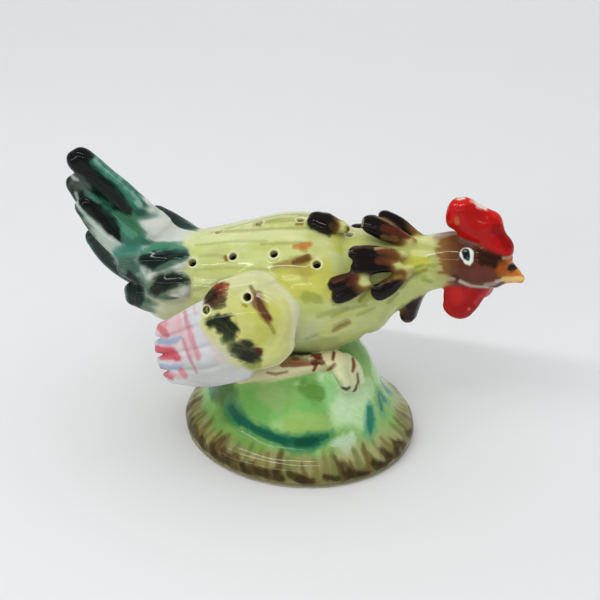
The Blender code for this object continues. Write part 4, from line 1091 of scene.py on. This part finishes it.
def base_colour(name, sweep, points, parts):
    """The ground colour of a piece, out of 255, before the strokes on it."""
    broad = noise(points, 9.0, 12)
    streak = noise(points, (9.0, 2.2, 2.2), 13)
    for start, (one, other) in GROUNDS.items():
        if name.startswith(start):
            return mixed(one, other, broad)
    t = parts[0] / sweep.length
    side = parts[2] / np.interp(parts[0], sweep.at, sweep.width)
    if name == "body_shell":
        upper = mixed((184, 192, 108), (200, 206, 140), streak)
        return washed(upper, mixed((146, 156, 94), (162, 170, 114), broad), smooth(-points[:, 2], -58, -42))
    if name == "wattle_left":
        return mixed((200, 84, 86), (216, 126, 126), smooth(np.abs(side), 0.3, 0.9))
    if name.startswith("wing"):
        cap = np.where(parts[1] < 0, *sweep.caps)
        from_middle = np.sqrt(side**2 + (parts[1] / cap) ** 2)
        lemon = mixed((202, 202, 116), (204, 206, 138), broad)
        return washed(lemon, (226, 226, 200), smooth(from_middle, 0.84, 0.97) * 0.7)
    if name.startswith(("leg", "foot")):
        pale = (232, 224, 172) if name.startswith("leg") else (214, 226, 178)
        return washed(pale, mixed((226, 222, 182), (208, 206, 152), broad), np.full(len(points), 0.5))
    if name.startswith("hackle"):
        ragged = t + (streak - 0.5) * 0.4
        feather = mixed((126, 92, 44), (24, 16, 12), smooth(ragged, 0.05, 0.5))
        return washed((200, 204, 130), feather, smooth(ragged, -0.1, 0.16))
    if name == "rump_covert_upper_left":
        feather = mixed((84, 140, 116), (50, 58, 56), smooth(t + (side + 0.2) * 0.3, 0.1, 0.5))
        return washed((196, 204, 150), feather, smooth(t + (streak - 0.5) * 0.3, -0.05, 0.3))
    clay_white = mixed((218, 218, 210), (204, 210, 198), streak)
    if name == "tail_root":
        return clay_white
    long_feather = name.startswith(("tail_feather", "tail_side_feather"))
    one, other = ((84, 136, 116), (40, 74, 62)) if long_feather else ((136, 156, 138), (66, 92, 78))
    return washed(clay_white, mixed(one, other, streak), smooth(t + (streak - 0.5) * 0.5, 0.1, 0.4))


FAR_STROKES = [
    ((48, 54, 52), 0.95, [(-53.5, 80, 1.2), (-50, 78, 1.9), (-46, 75.2, 1.8), (-42.5, 73.7, 1),
                          (-39, 73, 0.5)]),
    ((44, 106, 88), 0.85, [(-51.5, 76.6, 0.6), (-48, 74, 0.9), (-44, 72.6, 0.8), (-39, 72.4, 0.5)]),
]
FAR_RUMP = ("rump_covert_upper_left", "body", "tail_side_covert_left")
GROUPS = {
    "body_shell": BODY_STROKES, "wing": WING_STROKES, "flight": FLIGHT_STROKES, "hackle": HACKLE_STROKES,
    "head": HEAD_STROKES, "beak": BEAK_STROKES, "comb": COMB_STROKES, "wattle": WATTLE_STROKES,
    "leg": LEG_STROKES, "foot": FOOT_STROKES, "tail": TAIL_STROKES, "rump": TAIL_STROKES,
}
OWN_PAINT = ("rump_covert_upper_left", "hackle_crest_left")
BODY_EDGE_WANDER = 0.8
FAR_COVERT_SPREAD = 1.2
SOAK = 0.35
FAR_SEED, CHIP_SEED, MOUND_SEED, BRIM_SEED = 50, 60, 70, 90
EYE = [(57.9, 62.7, 2.5), (58.4, 60.8, 1.75), (58.8, 59.3, 0.5)]
PUPIL = [(57.5, 63.5, 1.3), (57.8, 62, 1.2), (58.3, 61, 0.6)]
GLINT = [(58.1, 61.6, 0.5), (58.4, 61, 0.3)]


def shape_cover(at, path, edge=0.25):
    """A neat painted shape, with no raggedness."""
    path = np.array(path, dtype=float)
    best = np.full(len(at), 1e9)
    for a, b in zip(path[:-1], path[1:]):
        t, off = segment(at, a[:2], b[:2])
        best = np.minimum(best, np.linalg.norm(off, axis=1) - (a[2] + (b[2] - a[2]) * t))
    return smooth(-best, -edge, edge)


def ground_colours(piece, pieces, points):
    """The mixed ground colour at each point, and the share that each piece near it has there."""
    names, distances, grounds = [], [], []
    wander = (noise(points, 1.6, 21) - 0.5) * BODY_EDGE_WANDER
    for other in pieces:
        low, high = other.bounds
        inside = np.all((points >= low) & (points <= high), axis=1) | (other is piece)
        if not inside.any():
            continue
        distance = np.full(len(points), 40.0)
        distance[inside] = other.distance(points[inside])
        if other.name == "body_shell":
            distance += wander
        if other.name == "rump_covert_upper_left":
            distance -= FAR_COVERT_SPREAD
        sweep = other.sweeps[0] if other.sweeps else None
        parts = sweep.locate(points[inside]) if sweep else None
        ground = np.zeros((len(points), 3))
        ground[inside] = base_colour(other.name, sweep, points[inside], parts) / 255
        names.append(other.name)
        distances.append(distance)
        grounds.append(ground)
    distances = np.array(distances)
    weights = np.exp(-(distances - distances.min(0)) / SOAK)
    weights /= weights.sum(0)
    return np.einsum("in,inc->nc", weights, np.array(grounds)), dict(zip(names, weights))


def painted(piece, pieces, points):
    """The colour of each point, linear, and how bare of glaze it is."""
    at = painters_plane(points)
    colours, shares = ground_colours(piece, pieces, points)

    def share(starts, left_out=()):
        found = [w for name, w in shares.items() if name.startswith(starts) and name not in left_out]
        return sum(found) if found else None

    for n, (group, strokes) in enumerate(GROUPS.items()):
        mask = share(("head", "beak") if group == "beak" else group, OWN_PAINT)
        if mask is not None:
            lay(colours, at, mask, strokes, 3.1 * n)
    rump = share(FAR_RUMP)
    if rump is not None:
        x, y, z = points.T
        across_back = np.stack([x + 0.139 * y, 0.53 * y + 0.848 * z - 0.074 * x], 1)
        lay(colours, across_back, rump * smooth(y, 3, 5), FAR_STROKES, FAR_SEED)
    bare = np.zeros(len(points))
    if "comb" in shares:
        lay(colours, at, shares["comb"], COMB_CHIPS, CHIP_SEED)
        for n, (_, strength, path) in enumerate(COMB_CHIPS):
            chip = brushed(at, path, CHIP_SEED + n * STROKE_SEED) * strength
            bare = np.maximum(bare, chip * shares["comb"])
    if "head" in shares:
        paint_collar(colours, at, share(("head", "body_shell")))
        for path, colour, strength in (
                (EYE, (232, 234, 222), 1), (PUPIL, (20, 32, 32), 1), (GLINT, (70, 104, 96), 0.6)):
            tint(colours, colour, shape_cover(at, path) * shares["head"] * strength)
    if "mound" in shares:
        paint_mound(colours, points, shares["mound"])
    bare = paint_openings(piece, points, colours, bare)
    return np.clip(colours, 0, 1) ** 2.2, bare


def paint_collar(colours, at, share):
    """The ragged brown edge where the head's glaze runs onto the neck."""
    flat = np.zeros(len(at))
    fringe = noise(np.c_[at[:, 0] / 5, at[:, 1] / 0.7, flat], 1.0, 33)
    edge = 48.6 + (noise(np.c_[at, flat], 4.0, 34) - 0.5) * 3
    cover = smooth(at[:, 0] - edge + (fringe - 0.5) * 3.4, -0.4, 0.8) * (1 - smooth(at[:, 0], 53.5, 56.5))
    rust = mixed((136, 92, 48), (104, 66, 40), smooth(at[:, 0], 49, 54))
    tint(colours, rust, cover * smooth(at[:, 1], 55.3, 56.6) * share * 0.92)
    upper = brushed(at, [(47.5, 69, 0.5), (51, 70.2, 0.7), (55, 70.8, 0.7)], 35)
    tint(colours, (168, 150, 136), upper * share * 0.7)


def round_the_mound(strokes):
    """Strokes given by bearing in degrees and height, with the bearing turned into brush work."""
    return [(colour, strength, [(bearing * DEGREE, z, width) for bearing, z, width in path])
            for colour, strength, path in strokes]


def paint_mound(colours, points, share):
    height = points[:, 2]
    degrees = np.degrees(mound_polar(points)[1])
    folded = np.stack([-np.abs(degrees) * DEGREE, height], 1)
    whole = np.stack([degrees * DEGREE, height], 1)
    brim = 1 - smooth(height + (noise(points, 4.0, 40) - 0.5) * 3, 9.5, 13.5)
    khaki = mixed((158, 152, 106), (140, 142, 86), noise(points, 7.0, 41))
    tint(colours, khaki, brim * share)
    lay(colours, folded, share, round_the_mound(MOUND_STROKES), MOUND_SEED)
    lay(colours, whole, share * smooth(-height, -14, -11), round_the_mound(BRIM_STROKES), BRIM_SEED)
    tint(colours, (112, 104, 70), (1 - smooth(height, 1.6, 3.4)) * share * 0.6)
    tint(colours, (206, 200, 180), (1 - smooth(height, 0.5, 1.0)) * share)


CLAY = (226, 218, 200)
RIM = (232, 230, 190)


def paint_openings(piece, points, colours, bare):
    """Pale rims round the stick holes, and bare clay inside the hollow pieces."""
    rim = np.zeros(len(points))
    for at, out, deep in HOLES:
        _, across, height = cylinder(points, at, out, HOLE_RADIUS, -deep, HOLE_OUTER_END)
        rim = np.maximum(rim, bell(across, HOLE_RADIUS + 0.35, 0.38) * (height > -9) * (height < 6))
    tint(colours, RIM, rim * 0.85)
    inner = np.zeros(len(points))
    if piece.name == "body_shell":
        inner = smooth(-piece.distance(points), 2.6, 3.4)
    if piece.name == "mound":
        inner = 1 - smooth(piece.hollow(points), 0.4, 1.2)
    tint(colours, CLAY, inner)
    return np.maximum(bare, inner)


# ---------------------------------------------------------------- materials

class Nodes:
    """A new material's nodes, and short ways to add to them."""

    def __init__(self, name):
        self.material = bpy.data.materials.new(name)
        self.material.use_nodes = True
        self.tree = self.material.node_tree
        self.shader = self.tree.nodes["Principled BSDF"]
        self.where = self.add("TexCoord")

    def add(self, kind, **settings):
        node = self.tree.nodes.new("ShaderNode" + kind)
        for name, value in settings.items():
            setattr(node, name, value)
        return node

    def join(self, output, place):
        self.tree.links.new(output, place)

    def noise_at(self, scale, detail, stretch=(1, 1, 1)):
        mapping, texture = self.add("Mapping"), self.add("TexNoise")
        mapping.inputs["Scale"].default_value = stretch
        texture.inputs["Scale"].default_value = scale
        texture.inputs["Detail"].default_value = detail
        self.join(self.where.outputs["Object"], mapping.inputs["Vector"])
        self.join(mapping.outputs["Vector"], texture.inputs["Vector"])
        return texture.outputs["Fac"]

    def ranged(self, value, low, high, start=0.3, end=0.7):
        node = self.add("MapRange")
        node.inputs["From Min"].default_value, node.inputs["From Max"].default_value = start, end
        node.inputs["To Min"].default_value, node.inputs["To Max"].default_value = low, high
        self.join(value, node.inputs["Value"])
        return node.outputs["Result"]


def glaze(slot):
    """Brushed colour under a clear gloss, with faint streaks, a tone that varies at random and a rippled
    surface.
    """
    name = f"painted_{slot}"
    if name in bpy.data.materials:
        return bpy.data.materials[name]
    nodes = Nodes(name)
    shader = nodes.shader
    paint = nodes.add("Attribute", attribute_name="paint")
    dry = nodes.add("Attribute", attribute_name="bare")
    tone = nodes.add("Math", operation="MULTIPLY")
    nodes.join(nodes.ranged(nodes.noise_at(500, 2, (0.3, 1, 1)), 0.96, 1.03), tone.inputs[0])
    nodes.join(nodes.ranged(nodes.noise_at(120, 4), 0.93, 1.05), tone.inputs[1])
    tinted = nodes.add("VectorMath", operation="SCALE")
    nodes.join(paint.outputs["Color"], tinted.inputs[0])
    nodes.join(tone.outputs[0], tinted.inputs["Scale"])
    nodes.join(tinted.outputs[0], shader.inputs["Base Color"])
    nodes.join(nodes.ranged(dry.outputs["Fac"], 0.09, 0.6, 0, 1), shader.inputs["Roughness"])
    shader.inputs["Specular IOR Level"].default_value = 0.2
    ripple = nodes.add("Bump")
    ripple.inputs["Strength"].default_value = 0.08
    ripple.inputs["Distance"].default_value = 0.0002
    nodes.join(nodes.noise_at(220, 1), ripple.inputs["Height"])
    nodes.join(ripple.outputs["Normal"], shader.inputs["Normal"])
    return nodes.material


def paper():
    """Plain backdrop paper with a faint grain."""
    nodes = Nodes("backdrop_paper")
    grain = nodes.noise_at(40, 2)
    nodes.join(nodes.ranged(grain, 0.79, 0.80, 0, 1), nodes.shader.inputs["Base Color"])
    nodes.shader.inputs["Roughness"].default_value = 0.9
    nodes.shader.inputs["Specular IOR Level"].default_value = 0.1
    return nodes.material


# ---------------------------------------------------------------- building

SLOTS = {part["node"]: part["material_slot"] for part in frame["record"]["subparts"]}


def frame_shift():
    """From the hen's own middle to the frame's origin: where the CAD mound stands says it."""
    low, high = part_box("mound")
    return np.array([(low[k] + high[k]) / 2 / MM for k in (0, 1)] + [low[2] / MM]) - MOUND_MIDDLE


SHIFT = frame_shift()


def make_mesh(name, points, quads, colours, bare):
    mesh = bpy.data.meshes.new(name)
    mesh.vertices.add(len(points))
    mesh.vertices.foreach_set("co", ((points + SHIFT) * MM).astype(np.float32).ravel())
    mesh.loops.add(quads.size)
    mesh.loops.foreach_set("vertex_index", quads.astype(np.int32).ravel())
    mesh.polygons.add(len(quads))
    mesh.polygons.foreach_set("loop_start", np.arange(0, quads.size, 4, dtype=np.int32))
    mesh.update(calc_edges=True)
    mesh.polygons.foreach_set("use_smooth", np.ones(len(quads), bool))
    paint = mesh.attributes.new("paint", "FLOAT_COLOR", "POINT")
    paint.data.foreach_set("color", np.c_[colours, np.ones(len(points))].astype(np.float32).ravel())
    dry = mesh.attributes.new("bare", "FLOAT", "POINT")
    dry.data.foreach_set("value", bare.astype(np.float32))
    obj = bpy.data.objects.new(name, mesh)
    bpy.context.scene.collection.objects.link(obj)
    return obj


def build():
    pieces = make_pieces()
    for piece in pieces:
        piece.bounds = piece.box(piece.blend * FILLET + 1.0)
    for piece in pieces:
        values, low = field_of(piece, pieces)
        points, quads = surface_net(values, low, piece.voxel)
        points = settle(points, values, low, piece.voxel, piece, pieces)
        colours, bare = painted(piece, pieces, points)
        obj = make_mesh(f"{piece.name}_glazed", points, quads, colours, bare)
        obj.data.materials.append(glaze(SLOTS[piece.name]))
        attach(obj, "root")
        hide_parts(piece.name)


build()

# ---------------------------------------------------------------- studio

CAMERA_AZIMUTH, CAMERA_ELEVATION, CAMERA_DISTANCE = math.radians(8), math.radians(32), 0.5
middle = (cad_box[0] + cad_box[1]) / 2
AIM = Vector((middle.x + 0.0016, middle.y + 0.0069, 0.052))  # what the camera looks at


def look(obj, at, target):
    obj.location = at
    obj.rotation_euler = (Vector(target) - Vector(at)).to_track_quat("-Z", "Y").to_euler()


def add_floor():
    """A paper sweep: flat under the hen, then curved up behind it."""
    half, back, rise, bend, steps = 1.6, 0.9, 1.6, 0.5, 24
    profile = [(-1.6, 0.0), (back - bend, 0.0)]
    for k in range(1, steps + 1):
        turn = math.pi / 2 * k / steps
        profile.append((back - bend + math.sin(turn) * bend, bend - math.cos(turn) * bend))
    profile.append((back, rise))
    points = [(x, y, z) for y, z in profile for x in (-half, half)]
    faces = [(2 * k, 2 * k + 1, 2 * k + 3, 2 * k + 2) for k in range(len(profile) - 1)]
    mesh = bpy.data.meshes.new("studio_floor")
    mesh.from_pydata(points, [], faces)
    mesh.polygons.foreach_set("use_smooth", [True] * len(faces))
    mesh.materials.append(paper())
    floor = bpy.data.objects.new("studio_floor", mesh)
    bpy.context.scene.collection.objects.link(floor)


def add_light(name, at, target, size, energy):
    data = bpy.data.lights.new(name, "AREA")
    data.shape = "RECTANGLE"
    data.size, data.size_y = size
    data.energy = energy
    lamp = bpy.data.objects.new(name, data)
    bpy.context.scene.collection.objects.link(lamp)
    look(lamp, at, target)
    return lamp


def add_strip(name, start, end, width, energy):
    """A thin lamp from start to end, both seen from AIM, facing it."""
    start, end = AIM + Vector(start), AIM + Vector(end)
    along = (end - start).normalized()
    away = (start + end) / 2 - AIM
    away = (away - away.dot(along) * along).normalized()
    turn = Matrix((along, away.cross(along), away)).transposed()
    lamp = add_light(name, (start + end) / 2, AIM, ((end - start).length, width), energy)
    lamp.rotation_euler = turn.to_euler()


def add_studio():
    add_floor()
    world = bpy.data.worlds.new("studio_air")
    bpy.context.scene.world = world
    world.use_nodes = True
    air = world.node_tree.nodes["Background"]
    air.inputs["Color"].default_value = (0.93, 0.96, 1.0, 1)
    air.inputs["Strength"].default_value = 0.48
    tent = add_light("overhead_tent", (0.1, 0.25, 1.1), AIM, (2.0, 1.6), 7.6)
    tent.visible_glossy = False
    add_strip("upper_strip", (-0.73, -0.27, 0.63), (0.12, -0.52, 0.82), 0.024, 2.5)
    add_strip("lower_strip", (-0.86, -0.47, 0.20), (0.11, -0.86, 0.50), 0.010, 0.9)


def add_camera():
    flat = math.cos(CAMERA_ELEVATION)
    back = Vector((
        math.sin(CAMERA_AZIMUTH) * flat, -math.cos(CAMERA_AZIMUTH) * flat, math.sin(CAMERA_ELEVATION)))
    data = bpy.data.cameras.new("camera")
    data.lens, data.sensor_width = 80, 36
    data.clip_start, data.clip_end = 0.01, 20
    camera = bpy.data.objects.new("camera", data)
    bpy.context.scene.collection.objects.link(camera)
    look(camera, AIM + back * CAMERA_DISTANCE, AIM)
    bpy.context.scene.camera = camera


add_studio()
add_camera()
bpy.context.scene.view_settings.view_transform = "Standard"
